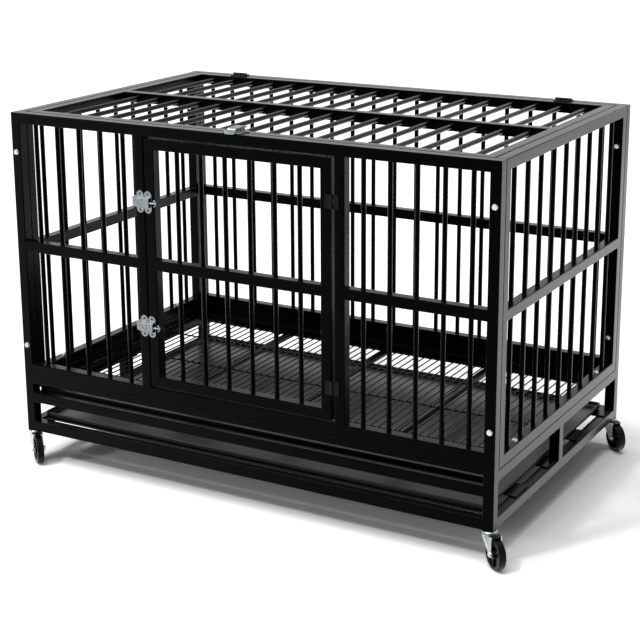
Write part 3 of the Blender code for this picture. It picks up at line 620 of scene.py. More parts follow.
class NodeGroup:
    """A Geometry Nodes tree with named inputs, which gives a plain mesh."""

    def __init__(self, name: str, inputs: dict[str, str]) -> None:
        """Starts the tree with its input and output nodes.

        Args:
            name: the tree's name.
            inputs: the kind of each named input besides Count and Finish.
        """
        self.tree = bpy.data.node_groups.new(name, "GeometryNodeTree")
        kinds = {"Count": "Int", "Finish": "Material", **inputs}
        sockets = self.tree.interface
        for label, kind in kinds.items():
            sockets.new_socket(name=label, in_out="INPUT", socket_type="NodeSocket" + kind)
        sockets.new_socket(name="Geometry", in_out="OUTPUT", socket_type="NodeSocketGeometry")
        self.given = self.tree.nodes.new("NodeGroupInput").outputs
        self.result = self.tree.nodes.new("NodeGroupOutput").inputs[0]

    def node(
        self, kind: str, inputs: dict[object, object], output: int | str = 0, **settings: object
    ) -> bpy.types.NodeSocket:
        """Adds a node to the tree.

        Args:
            kind: the node's type name.
            inputs: its inputs, as values or sockets.
            output: the name or number of the output that is wanted.
            **settings: values of the node's own properties.

        Returns:
            The output.
        """
        return add_node(self.tree, kind, inputs, **settings).outputs[output]

    def math(self, operation: str, first: object, second: object) -> bpy.types.NodeSocket:
        """Adds a sum of two values and returns its output."""
        return self.node("ShaderNodeMath", {0: first, 1: second}, operation=operation)

    def vector(self, **parts: object) -> bpy.types.NodeSocket:
        """Adds a vector of the given X, Y or Z and returns its output."""
        return self.node("ShaderNodeCombineXYZ", parts)

    def copies(
        self, unit: bpy.types.NodeSocket, offset: object, rotation: object = (0.0, 0.0, 0.0)
    ) -> None:
        """Ends the tree in copies of a unit, by Realize Instances and Set Material.

        Args:
            unit: the geometry that is copied.
            offset: the step from each copy to the next.
            rotation: how each copy is turned.
        """
        line = self.node("GeometryNodeMeshLine", {"Count": self.given["Count"], "Offset": offset})
        spots = {"Points": line, "Instance": unit, "Rotation": rotation}
        row = self.node("GeometryNodeInstanceOnPoints", spots)
        real = self.node("GeometryNodeRealizeInstances", {"Geometry": row})
        dress = {"Geometry": real, "Material": self.given["Finish"]}
        self.tree.links.new(self.node("GeometryNodeSetMaterial", dress), self.result)

    def grow(self, values: dict[str, object]) -> bpy.types.Mesh:
        """Runs the tree once.

        Args:
            values: a value for each named input.

        Returns:
            The plain mesh that it made.
        """
        carrier = add_item("carrier", bpy.data.meshes.new("carrier"))
        modifier = carrier.modifiers.new("grow", "NODES")
        modifier.node_group = self.tree
        for socket in self.tree.interface.items_tree:
            if socket.in_out == "INPUT":
                modifier[socket.identifier] = values[socket.name]
        graph = bpy.context.evaluated_depsgraph_get()
        mesh = bpy.data.meshes.new_from_object(carrier.evaluated_get(graph))
        carrier.modifiers.remove(modifier)
        bpy.data.objects.remove(carrier)
        return mesh


class BarRow(NodeGroup):
    """A row of round bars along x, each standing along z with a fillet weld at both ends."""

    def __init__(self) -> None:
        """Builds the tree."""
        sizes = dict.fromkeys(("Pitch", "Length", "Diameter", "Weld"), "Float")
        super().__init__("welded bar row", {**sizes, "Sides": "Int"})
        given = self.given
        radius = self.math("MULTIPLY", given["Diameter"], 0.5)
        bar = {"Vertices": given["Sides"], "Radius": radius, "Depth": given["Length"]}
        cone = {
            "Vertices": given["Sides"],
            "Radius Top": radius,
            "Radius Bottom": self.math("ADD", radius, given["Weld"]),
            "Depth": given["Weld"],
        }
        fillet = self.node("GeometryNodeMeshCone", cone)
        unit = self.node("GeometryNodeJoinGeometry", {0: self.node("GeometryNodeMeshCylinder", bar)})
        for share, turn in ((-0.5, 0.0), (0.5, math.pi)):
            end = self.vector(Z=self.math("MULTIPLY", given["Length"], share))
            weld = {"Geometry": fillet, "Translation": end, "Rotation": (turn, 0, 0)}
            self.tree.links.new(self.node("GeometryNodeTransform", weld), unit.node.inputs[0])
        self.copies(unit, self.vector(X=given["Pitch"]))


class FastenerSpread(NodeGroup):
    """Copies of one bolt on a line, each turned by a seeded chance about its own axis."""

    def __init__(self) -> None:
        """Builds the tree."""
        super().__init__("fastener spread", {"Bolt": "Object", "Spacing": "Float", "Seed": "Int"})
        given = self.given
        bolt = self.node("GeometryNodeObjectInfo", {"Object": given["Bolt"]}, "Geometry")
        limits = {"Min": 0.0, "Max": math.tau, "Seed": given["Seed"]}
        chance = add_node(self.tree, "FunctionNodeRandomValue", limits)
        angle = next(socket for socket in chance.outputs if socket.enabled)
        self.copies(bolt, self.vector(X=given["Spacing"]), self.vector(Z=angle))


class SpokeRing(NodeGroup):
    """Copies of one rib, turned evenly about the z axis."""

    def __init__(self) -> None:
        """Builds the tree."""
        super().__init__("spoke ring", {"Rib": "Object", "Phase": "Float"})
        given = self.given
        rib = self.node("GeometryNodeObjectInfo", {"Object": given["Rib"]}, "Geometry")
        share = self.math("DIVIDE", math.tau, given["Count"])
        step = self.math("MULTIPLY", self.node("GeometryNodeInputIndex", {}), share)
        spin = self.vector(Z=self.math("ADD", step, given["Phase"]))
        self.copies(rib, (0.0, 0.0, 0.0), spin)


@dataclass(frozen=True)
class BarStyle:
    """How the round bars of a piece look."""

    diameter: float = 0.0105
    weld: float = 0.0012  # the size of the fillet weld at its ends
    sides: int = 24  # how many facets go round it


@dataclass(frozen=True)
class Bay:
    """A clear width between two stiles, and the pitch of its bars."""

    start: float
    end: float
    pitch: float


@dataclass
class Tubework:
    """Welds square tube and round bars into panels."""

    corner_radius: float = 0.0021  # the outer corner radius of the square tube
    bars: BarStyle = BarStyle()

    def __post_init__(self) -> None:
        """Draws the tube's section and builds the bar row."""
        self.section = flat_bar(CAGE.tube, CAGE.tube, self.corner_radius, 4)
        self.row = BarRow()

    def bar_row(
        self, work: Workpiece, bay: Bay, ends: Point, level: float, style: BarStyle | None = None
    ) -> None:
        """Adds the bars of one bay between two rails.

        Args:
            work: the workpiece that gets them.
            bay: the bay that they fill.
            ends: the lower rail's upper face and the upper rail's lower face.
            level: the bars' place along the drawing's z.
            style: the bars' look, where it isn't the usual one.
        """
        style = style or self.bars
        count, first = spread_out(bay.start, bay.end, bay.pitch)
        values = {
            "Count": count,
            "Pitch": bay.pitch,
            "Length": ends[1] - ends[0],
            "Diameter": style.diameter,
            "Weld": style.weld,
            "Sides": style.sides,
            "Finish": Coat.FRAME.material,
        }
        stand = axes((1, 0, 0), (0, 0, -1), (first, (ends[0] + ends[1]) / 2, level))
        work.add_mesh(self.row.grow(values), stand)

    def panel(self, work: Workpiece, width: float, height: float, bays: Sequence[Bay]) -> None:
        """Adds a mitred panel with its stiles, middle rails and bars, x across and y up.

        Args:
            work: the workpiece that gets it.
            width: its overall width.
            height: its overall height.
            bays: its barred bays, from left to right.
        """
        tube = CAGE.tube
        half = tube / 2
        seat = self.corner_radius
        waist = height / 2
        work.mitred_frame((half, half, half), (width - half, height - half), self.section)
        for bay in bays:
            for edge in (bay.start - half, bay.end + half):
                if tube < edge < width - half - seat:
                    foot = (edge, tube - seat, half)
                    work.tube(foot, (edge, height - tube + seat, half), self.section)
            left = (bay.start - seat, waist, half)
            work.tube(left, (bay.end + seat, waist, half), self.section)
            for ends in ((tube, waist - half), (waist + half, height - tube)):
                self.bar_row(work, bay, ends, half)


@dataclass
class Panels:
    """The fixed barred panels and the two barred doors."""

    shop: Tubework
    front_pitch: float = 0.0596
    back_pitch: float = 0.0594
    side_pitch: float = 0.0704
    door_pitch: float = 0.0603
    roof_pitch: float = 0.0594
    door_latch_gap: float = 0.002  # from the front door to its opening, at the latches
    door_hinge_gap: float = 0.008  # the same at the hinges

    def face(self, node: str) -> tuple[Matrix, float, float]:
        """Finds where a panel stands.

        Args:
            node: the panel's CAD node.

        Returns:
            Its placement, width and height.
        """
        low, high = CAGE.box(node)
        size = high - low
        if size.z < min(size.x, size.y):
            return axes((1, 0, 0), (0, 1, 0), low), size.x, size.y
        if size.x > size.y:
            return axes((1, 0, 0), (0, 0, 1), (low.x, high.y, low.z)), size.x, size.z
        return axes((0, 1, 0), (0, 0, 1), low), size.y, size.z

    def make(self, node: str, pitch: float, opening: Points = ()) -> None:
        """Makes a panel with one barred bay, or with one on each side of an opening.

        Args:
            node: the panel's CAD node.
            pitch: the bar pitch.
            opening: the span of its opening, where it has one.
        """
        place, width, height = self.face(node)
        edges = [CAGE.tube, width - CAGE.tube]
        for start, end in opening:
            edges[1:1] = [start - CAGE.tube, end + CAGE.tube]
        bays = [Bay(*span, pitch) for span in zip(edges[::2], edges[1::2])]
        work = Workpiece(place)
        self.shop.panel(work, width, height, bays)
        work.finish(node, Coat.FRAME)

    def build(self) -> None:
        """Makes the six barred pieces."""
        low, high = CAGE.box("front_door")
        opening = (low.x - self.door_latch_gap, high.x + self.door_hinge_gap)
        self.make("front_panel", self.front_pitch, (opening,))
        self.make("back_panel", self.back_pitch)
        self.make("left_side_panel", self.side_pitch)
        self.make("right_side_panel", self.side_pitch)
        self.make("front_door", self.door_pitch)
        self.make("roof_door", self.roof_pitch)


@dataclass
class Base:
    """The welded base frame, the floor grate and the waste tray."""

    shop: Tubework
    tray_opening: float = 0.0475  # the clear height of the tray's slot
    strap_count: int = 4  # the straps that carry the tray
    strap_width: float = 0.068
    strap_thickness: float = 0.003
    strap_pitch: float = 0.1785
    strap_rear_inset: float = 0.046  # the last strap's distance from the back
    lug_length: float = 0.040  # the lugs that carry the grate
    lug_reach: float = 0.020
    lug_thickness: float = 0.003
    lug_inset: float = 0.100  # the outer lugs' distance from the sides
    lug_top: float = 0.0807
    rim: float = 0.020  # the side of the grate's rim tube
    rim_radius: float = 0.0016
    rim_lip: float = 0.0024  # how far the rim reaches up beyond its tube
    wire: BarStyle = BarStyle(0.0033, 0.0005, 12)
    wire_pitch: float = 0.0198
    wire_drop: float = 0.006  # from the rim tube's top to the wires
    cross_wire: BarStyle = BarStyle(0.004, 0.0006, 12)
    cross_pitch: float = 0.177
    stiffener_width: float = 0.020  # the flat tubes under the wires
    stiffener_height: float = 0.010
    stiffener_pitch: float = 0.2855
    tray_sheet: float = 0.0015
    tray_hem: float = 0.0016  # the radius of the tray's rolled rim
    tray_hem_depth: float = 2.2  # how deep the roll ends, in its radii
    tray_corner: float = 0.010
    tray_fold: float = 0.004  # a dark strip under the tray's front edge: painted shade that closes the gap over the base's lower rail
    painted_shade_strip_width: float = 0.018  # the flat runner under the tray's front edge
    painted_shade_strip_gap: float = 0.0003

    def make_frame(self) -> None:
        """Makes the base frame with its straps and grate lugs."""
        front_top = CAGE.box("base_frame")[1].z
        rear_top = CAGE.box("left_side_panel")[0].z
        half = CAGE.tube / 2
        butt = CAGE.tube - self.shop.corner_radius
        section = self.shop.section
        rear = CAGE.depth - half
        strut = CAGE.depth / 2
        work = Workpiece()
        for x in (half, CAGE.width - half):
            work.tube((x, half, 0), (x, half, front_top), section)
            work.tube((x, rear, 0), (x, rear, rear_top), section)
            for z in (half, rear_top - half):
                work.tube((x, butt, z), (x, CAGE.depth - butt, z), section)
            work.tube((x, strut, butt), (x, strut, rear_top - butt), section)
        rails = [(half, z) for z in (half, CAGE.tube + self.tray_opening + half, front_top - half)]
        rails += [(rear, z) for z in (half, rear_top - half)]
        for y, z in rails:
            work.tube((butt, y, z), (CAGE.width - butt, y, z), section)
        self.add_straps(work)
        self.add_lugs(work)
        work.finish("base_frame", Coat.FRAME)

    def add_straps(self, work: Workpiece) -> None:
        """Adds the flat straps that carry the tray.

        Args:
            work: the base frame's workpiece.
        """
        section = flat_bar(self.strap_width, self.strap_thickness)
        end = CAGE.tube / 4
        z = CAGE.tube + self.strap_thickness / 2
        for step in range(self.strap_count):
            y = CAGE.depth - self.strap_rear_inset - self.strap_pitch * step
            work.tube((end, y, z), (CAGE.width - end, y, z), section)

    def add_lugs(self, work: Workpiece) -> None:
        """Adds the lugs that carry the grate.

        Args:
            work: the base frame's workpiece.
        """
        reach = self.lug_reach
        long = self.lug_length / 2
        z = self.lug_top - self.lug_thickness / 2
        inner = CAGE.tube + reach / 2
        section = flat_bar(reach, self.lug_thickness)
        for x in (self.lug_inset, CAGE.width / 2, CAGE.width - self.lug_inset):
            work.tube((x - long, inner, z), (x + long, inner, z), section)
        section = flat_bar(self.lug_thickness, reach)
        back = CAGE.depth - CAGE.tube
        strut = CAGE.depth / 2
        half = CAGE.tube / 2 - self.shop.corner_radius
        for x in (inner, CAGE.width - inner):
            work.tube((x, strut - half, z), (x, strut + half, z), section)
            work.tube((x, back - reach, z), (x, back, z), section)

    def make_grate(self) -> None:
        """Makes the floor grate: rim, stiffeners, wires and cross wires."""
        low, high = CAGE.box("floor_grate")
        size = high - low
        half = self.rim / 2
        work = Workpiece(Matrix.Translation(low))
        top = half + self.rim_lip
        section = rounded_rectangle((-half, -half), (half, top), self.rim_radius, 3)
        work.mitred_frame((half, half, half), (size.x - half, size.y - half), section)
        self.add_stiffeners(work, size)
        across = (self.rim, size.x - self.rim)
        deep = (self.rim, size.y - self.rim)
        level = self.rim - self.wire_drop
        self.shop.bar_row(work, Bay(*across, self.wire_pitch), deep, level, self.wire)
        level -= (self.wire.diameter + self.cross_wire.diameter) / 2
        crossings = Bay(-deep[1], -deep[0], self.cross_pitch)
        work.place = work.place @ axes((0, -1, 0), (1, 0, 0))
        self.shop.bar_row(work, crossings, across, level, self.cross_wire)
        work.finish("floor_grate", Coat.FRAME)

    def add_stiffeners(self, work: Workpiece, size: Vector) -> None:
        """Adds the flat tubes under the wires.

        Args:
            work: the grate's workpiece.
            size: the grate's overall size.
        """
        z = self.stiffener_height / 2
        section = flat_bar(self.stiffener_height, self.stiffener_width, self.rim_radius, 3)
        count, first = spread_out(0, size.x, self.stiffener_pitch)
        seat = self.rim - self.rim_radius
        for step in range(count):
            x = first + self.stiffener_pitch * step
            work.tube((x, seat, z), (x, size.y - seat, z), section)

    def make_tray(self) -> None:
        """Makes the waste tray: a folded sheet with round corners and a rolled rim."""
        low, high = CAGE.box("waste_tray")
        top = high.z - low.z
        hem = self.tray_hem
        outer = self.tray_fold + self.tray_sheet
        fold = (hem + outer, outer)
        floor = 4 * self.tray_corner
        profile = [
            (floor, self.tray_sheet),
            *arc(fold, self.tray_fold, -90, -180, 4),
            (hem + self.tray_sheet, top - 2 * hem),
            *arc((hem * 1.5, top - hem), hem, 225, -45, 6),
            (hem, top - hem * self.tray_hem_depth),
            *arc(fold, outer, 180, 270, 4),
            (floor, 0.0),
        ]
        loops = []
        for inset, level in profile:
            radius = max(self.tray_corner - inset, self.tray_corner / 4)
            near = (low.x + inset, low.y + inset)
            far = (high.x - inset, high.y - inset)
            outline = rounded_rectangle(near, far, radius, 5)
            loops.append([Vector((x, y, low.z + level)) for x, y in outline])
        work = Workpiece()
        work.loft(loops)
        self.add_painted_shade_strip(work, low, high)
        work.finish("waste_tray", Coat.TRAY)

    def add_painted_shade_strip(self, work: Workpiece, low: Vector, high: Vector) -> None:
        """Adds a dark strip under the tray's front edge, just over the base's lower rail: painted
        shade that closes the gap through which the floor under the cage would show.

        Args:
            work: the tray's workpiece.
            low: the tray's lowest corner.
            high: the tray's highest corner.
        """
        bottom = CAGE.tube + self.painted_shade_strip_gap
        height = low.z - self.painted_shade_strip_gap / 2 - bottom
        y = CAGE.tube + 2 * self.painted_shade_strip_gap + self.painted_shade_strip_width / 2
        ends = (low.x + self.tray_corner, high.x - self.tray_corner)
        start, end = [(x, y, bottom + height / 2) for x in ends]
        work.tube(start, end, flat_bar(self.painted_shade_strip_width, height))

    def build(self) -> None:
        """Makes the three pieces of the base."""
        self.make_frame()
        self.make_grate()
        self.make_tray()


def fitting_place(along: float, across: float, on_roof: bool) -> Matrix:
    """Finds where a fitting stands on the front face or on the roof.

    Its x then runs over the seam towards the handle or the frame, and its z outward.

    Args:
        along: the place of its seam, over the door's opening edge.
        across: the place of its middle, along that edge.
        on_roof: whether it lies on the roof.

    Returns:
        The placement.
    """
    if on_roof:
        return axes((0, 1, 0), (-1, 0, 0), (across, along, CAGE.height))
    return axes((1, 0, 0), (0, 0, 1), (along, 0, across))


@dataclass(frozen=True)
class SlideLatch:
    """A pressed slide latch: keeper, body and bolt, drawn about its seam, x along the bolt."""

    name: str  # the start of its nodes' names
    on_roof: bool = False
    stand: float = 0.0003  # the hair gap under its plates
    sheet: float = 0.0022  # the plate thickness
    body_start: float = 0.0015  # how far from the seam the body's solid starts
    seam_gap: float = 0.0003  # half the visible gap between the plates
    lobe_rise: float = 0.0153  # from the middle to the rounded plate ends' centres
    lobe_radius: float = 0.0093
    hole_rise: float = 0.0178  # from the middle to the screw holes
    hole_radius: float = 0.0021
    valley: float = 0.0150  # how far the plates reach up at the seam
    keeper_lobe: float = -0.0107  # where the keeper's plate ends are centred
    wing_end: float = -0.0315
    wing_half: float = 0.012
    wing_corner: float = 0.0045
    wing_root: Point = (0.0006, 0.0005)  # the small step where the wing starts
    wing_hole: float = -0.0240
    body_lobe: float = 0.0095  # where the body's plate ends are centred
    hood_start: float = -0.0200  # the blind end of the keeper's hood
    # From that end, the places and heights of the sections of its dome, then its inner end
    hood_dome: Points = ((0.0, 0.2), (0.0006, 0.7), (0.0018, 0.93), (0.0034, 1.0))
    hood_inside: float = 0.0044
    hood_mouth: float = 0.0166  # the open end of the body's hood
    hood_top: float = 0.0115
    hood_half: float = 0.0112  # half a hood's height at its root
    hood_crown: float = 0.0104  # half a hood's height at its top
    hood_wall: float = 0.0011
    hood_lift: float = 1.1  # how far its inner faces start over its root, in walls
    hood_bend: float = 0.0014
    cross_middle: float = -0.0100  # the cross pressed into the keeper's hood
    cross_reach: Point = (0.0055, 0.0052)
    cross_sink: float = 0.0002
    cross_swell: float = 0.0001
    cross_wire: float = 0.0009
    bolt_height: float = 0.0068
    bolt_radius: float = 0.0030
    bolt_tip: float = 0.0008  # where the bolt ends, and its chamfer
    bolt_neck: float = 0.0090  # how far before the ring's far side its shank ends
    # The radii and places of its neck, from the ring's far side
    neck_steps: Points = ((0.0022, -0.0080), (0.0020, 0.0), (0.0012, 0.0006))
    ring_centre: float = 0.0262  # the hooked ring
    ring_radius: float = 0.0068
    ring_wire: float = 0.0017
    ring_end: float = 75.0  # how far round it runs from straight ahead, in degrees

    @property
    def place(self) -> Matrix:
        """Finds where the latch stands.

        Returns:
            The placement of its seam on the door's face.
        """
        body = self.name + "_body"
        seam = CAGE.box(body)[0][1 if self.on_roof else 0] - self.body_start
        return fitting_place(seam, middle(body, 0 if self.on_roof else 2), self.on_roof)

    def hole(self, x: float, y: float) -> list[Point]:
        """Draws a screw hole, clockwise."""
        return arc((x, y), self.hole_radius, 360, 15, 23)

    def lobe(self, x: float) -> list[Point]:
        """Draws the upper plate end about x, from right to left."""
        return arc((x, self.lobe_rise), self.lobe_radius, 0, 180, 20)

    def press_plate(
        self, work: Workpiece, upper: list[Point], lobe: float, holes: Sequence[Points] = ()
    ) -> None:
        """Adds a flat plate with a screw hole in each of its rounded ends.

        Args:
            work: the workpiece that gets it.
            upper: the upper half of its outline, from its first point on the middle line.
            lobe: where its rounded ends are centred.
            holes: its further holes.
        """
        ends = [self.hole(lobe, y) for y in (-self.hole_rise, self.hole_rise)]
        outlines = [upper + mirrored(upper[1:]), *ends, *holes]
        work.plate(outlines, self.stand, self.stand + self.sheet)

    def hood_section(self, x: float, share: float = 1.0, wall: float = 0.0) -> Loop:
        """Draws the hood's section at one place along the bolt.

        Args:
            x: the place along the bolt.
            share: how high the section is, 1 in the middle of the hood.
            wall: how far the section lies inside the outer face.

        Returns:
            The section's loop.
        """
        root = self.stand + self.sheet / 2 + wall * self.hood_lift
        top = root + (self.hood_top - wall - root) * share
        half = self.hood_half - wall
        lean = (self.hood_half - self.hood_crown) / self.hood_top
        outline = rounded_rectangle((-half, root), (half, top), self.hood_bend)
        return [Vector((x, y - math.copysign(lean * z, y), z)) for y, z in outline]

    def make_keeper(self) -> None:
        """Makes the keeper on the frame, with its wing and its hollow, blind hood."""
        work = Workpiece(self.place)
        seam = -self.seam_gap
        wing = self.wing_half
        soft = self.wing_corner
        root = self.keeper_lobe - self.lobe_radius
        upper = [(seam, 0.0), (seam, self.valley), *self.lobe(self.keeper_lobe)]
        upper += [(root, wing + self.wing_root[1]), (root - self.wing_root[0], wing)]
        upper += arc((self.wing_end + soft, wing - soft), soft, 90, 180, 6)
        self.press_plate(work, upper, self.keeper_lobe, [self.hole(self.wing_hole, 0.0)])
        start = self.hood_start
        loops = [self.hood_section(start + inset, share) for inset, share in self.hood_dome]
        loops.append(self.hood_section(seam))
        for x in (seam, start + self.hood_inside):
            loops.append(self.hood_section(x, wall=self.hood_wall))
        work.loft(loops)
        self.add_cross(work)
        work.finish(self.name + "_keeper", Coat.ZINC)

    def add_cross(self, work: Workpiece) -> None:
        """Adds the pressed cross on the keeper's hood.

        Args:
            work: the keeper's workpiece.
        """
        level = self.hood_top - self.cross_sink
        reach, rise = self.cross_reach
        for turn in (-1, 1):
            path = [(self.cross_middle + step * reach, step * turn * rise, level) for step in (-1, 1)]
            path.insert(1, (self.cross_middle, 0.0, level + self.cross_swell))
            work.bent_wire(path, self.cross_wire, 12)

    def make_body(self) -> None:
        """Makes the body on the door, with its hollow, open hood."""
        work = Workpiece(self.place)
        seam = self.seam_gap
        upper = [(self.body_lobe + self.lobe_radius, 0.0), *self.lobe(self.body_lobe)]
        upper.append((seam, self.valley))
        self.press_plate(work, upper, self.body_lobe)
        loops = [self.hood_section(x) for x in (seam, self.hood_mouth)]
        loops += [self.hood_section(x, wall=self.hood_wall) for x in (self.hood_mouth, seam)]
        work.loft(loops, closed=True)
        work.finish(self.name + "_body", Coat.ZINC)

    def make_bolt(self) -> None:
        """Makes the bolt with its hooked ring."""
        work = Workpiece(self.place @ Matrix.Translation((0, 0, self.bolt_height)))
        path = arc((self.ring_centre, 0.0), self.ring_radius, -self.ring_end, self.ring_end, 20)
        work.bent_wire([(x, y, 0.0) for x, y in path], self.ring_wire, 16)
        work.place = work.place @ axes((0, 1, 0), (0, 0, 1))
        radius = self.bolt_radius
        tip = self.bolt_tip
        far = self.ring_centre + self.ring_radius
        profile = [(radius - tip, tip), (radius, 2 * tip), (radius, far - self.bolt_neck)]
        work.turned(profile + shifted((0.0, far), self.neck_steps), 32)
        work.finish(self.name + "_bolt", Coat.ZINC)

    def build(self) -> None:
        """Makes the three pieces."""
        self.make_keeper()
        self.make_body()
        self.make_bolt()


@dataclass(frozen=True)
class ButtHinge:
    """A butt hinge whose leaves are welded on, drawn about its pin: y along it, z outward."""

    name: str  # the start of its nodes' names
    length: float
    on_roof: bool = False
    stand: float = 0.0003  # the hair gap under its leaves
    sheet: float = 0.0025  # the leaf thickness
    leaf: float = 0.0165  # how far a leaf reaches from the pin
    leaf_corner: float = 0.002
    finger: float = 0.0006  # how near its fingers come to the pin's plane
    pin_height: float = 0.004  # over the face
    knuckle: float = 0.0035  # the knuckle radius
    pin: float = 0.0015  # the pin radius
    gap: float = 0.0004  # the play between knuckles
    # The radii of the pin's riveted end, and how far each lies beyond the last knuckle
    rivet: Points = ((0.0008, 0.0006), (0.00225, 0.0002), (0.00225, -0.0002), (0.0015, -0.0004))

    @property
    def place(self) -> Matrix:
        """Finds where the hinge stands.

        Returns:
            The placement of its pin on the door's face.
        """
        door = self.name + "_door_leaf"
        frame_leaf = self.name + "_frame_leaf"
        axis = 1 if self.on_roof else 0
        along = (CAGE.box(door)[0][axis] + CAGE.box(frame_leaf)[1][axis]) / 2
        return fitting_place(along, middle(door, 0 if self.on_roof else 2), self.on_roof)

    def leaf_outline(self, side: int, fingers: Points) -> list[Point]:
        """Draws a leaf whose fingers run in under the knuckles.

        Args:
            side: 1 for the leaf at the frame, -1 for the one on the door.
            fingers: the spans of its knuckles, from low to high.

        Returns:
            The outline.
        """
        half = self.length / 2
        near = self.knuckle + self.gap
        soft = self.leaf_corner
        points = arc((self.leaf - soft, soft - half), soft, -90, 0, 4)
        points += arc((self.leaf - soft, half - soft), soft, 0, 90, 4)
        edge = half
        for low, high in reversed(fingers):
            if high < edge - self.gap:
                points += [(near, edge), (near, high)]
            points += [(self.finger, high), (self.finger, low)]
            edge = low
        if edge > self.gap - half:
            points += [(near, edge), (near, -half)]
        return [(side * x, y) for x, y in points]

    def make_leaf(self, suffix: str, side: int, fingers: Points) -> None:
        """Makes one leaf with its rolled knuckles, and with the pin where it is the frame's.

        Args:
            suffix: the end of its node's name.
            side: 1 for the leaf at the frame, -1 for the one on the door.
            fingers: the spans of its knuckles, from low to high.
        """
        work = Workpiece(self.place)
        work.plate([self.leaf_outline(side, fingers)], self.stand, self.stand + self.sheet)
        work.place = self.place @ axes((0, 0, 1), (1, 0, 0), (0, 0, self.pin_height))
        full = self.knuckle
        soft = self.gap
        bore = self.pin + self.gap
        for low, high in fingers:
            profile = [(full - soft, low), (full, low + soft)]
            profile += [(full, high - soft), (full - soft, high)]
            if side < 0:
                profile += [(bore, high), (bore, low)]
            work.turned(profile, 32, bored=side < 0)
        if side > 0:
            half = self.length / 2
            pin = [(radius, -half - beyond) for radius, beyond in self.rivet]
            pin += [(radius, half + beyond) for radius, beyond in reversed(self.rivet)]
            work.turned(pin, 24)
        work.finish(self.name + suffix, Coat.HINGE)

    def build(self) -> None:
        """Makes both leaves."""
        half = self.length / 2
        sixth = self.length / 6
        self.make_leaf("_frame_leaf", 1, ((-half, -sixth), (sixth, half)))
        self.make_leaf("_door_leaf", -1, ((self.gap - sixth, sixth - self.gap),))


@dataclass(frozen=True)
class PanelBolts:
    """The hexagon bolts that join the panels and the base."""

    head_radius: float = 0.006  # over the head's corners
    head_height: float = 0.0035
    washer: float = 0.0006  # the thickness of the washer face under the head
    washer_rim: float = 0.0003  # how far it stands out beyond the corners
    washer_edge: float = 0.0002
    shank_radius: float = 0.003
    shank_lap: float = 0.0001  # how far the shank reaches into the head
    shank_chamfer: float = 0.0006
    nut_radius: float = 0.0057  # over the nut's corners
    nut_height: float = 0.005
    tip: float = 0.002  # how far the thread stands out of the nut
    spacing: float = 1.0  # between the copies on their line
    seed: int = 7  # of the chance that turns each bolt

    def outward(self, node: str) -> Matrix:
        """Finds where a bolt's head sits, with z outward.

        Args:
            node: the bolt's CAD node.

        Returns:
            The placement of the face under its head.
        """
        low, high = CAGE.box(node)
        x, y, z = (low + high) / 2
        if node.startswith("base"):
            return axes((1, 0, 0), (0, 1, 0), (x, y, high.z - self.head_height))
        if "_front_" in node:
            return axes((1, 0, 0), (0, 0, 1), (x, low.y + self.head_height, z))
        return axes((-1, 0, 0), (0, 0, 1), (x, high.y - self.head_height, z))

    def one_bolt(self, length: float) -> bpy.types.Object:
        """Makes the bolt that the spread copies, about its own face.

        Args:
            length: how far the thread's end lies under the head.

        Returns:
            A helper object.
        """
        work = Workpiece()
        shank = self.shank_radius
        edge = self.head_radius + self.washer_rim
        work.hexagon(self.head_radius, self.washer, self.head_height)
        rim = [(edge - self.washer_edge, self.washer), (edge, self.washer / 2), (edge, 0.0)]
        work.turned(rim, 32)
        low = self.tip - length
        work.hexagon(self.nut_radius, low, low + self.nut_height, both=True)
        thread = [(shank, self.shank_lap), (shank, self.shank_chamfer - length)]
        work.turned(thread + [(shank - self.shank_chamfer, -length)], 24)
        return work.make_object("bolt_pattern")

    def build(self) -> None:
        """Makes all the bolts as one piece: copies on a line, each then put in its place."""
        nodes = sorted(name for name in BODIES if "_bolt_" in name)
        low, high = CAGE.box(nodes[0])
        pattern = self.one_bolt(max(high - low) - self.head_height)
        values = {
            "Bolt": pattern,
            "Count": len(nodes),
            "Spacing": self.spacing,
            "Seed": self.seed,
            "Finish": Coat.BRIGHT.material,
        }
        work = Workpiece()
        work.add_mesh(FastenerSpread().grow(values))
        bpy.data.objects.remove(pattern)
        places = [self.outward(node) for node in nodes]
        for vert in work.shape.verts:
            number = round(vert.co.x / self.spacing)
            vert.co.x -= self.spacing * number
            vert.co = places[number] @ vert.co
        work.finish(nodes[0], Coat.BRIGHT, nodes[1:])


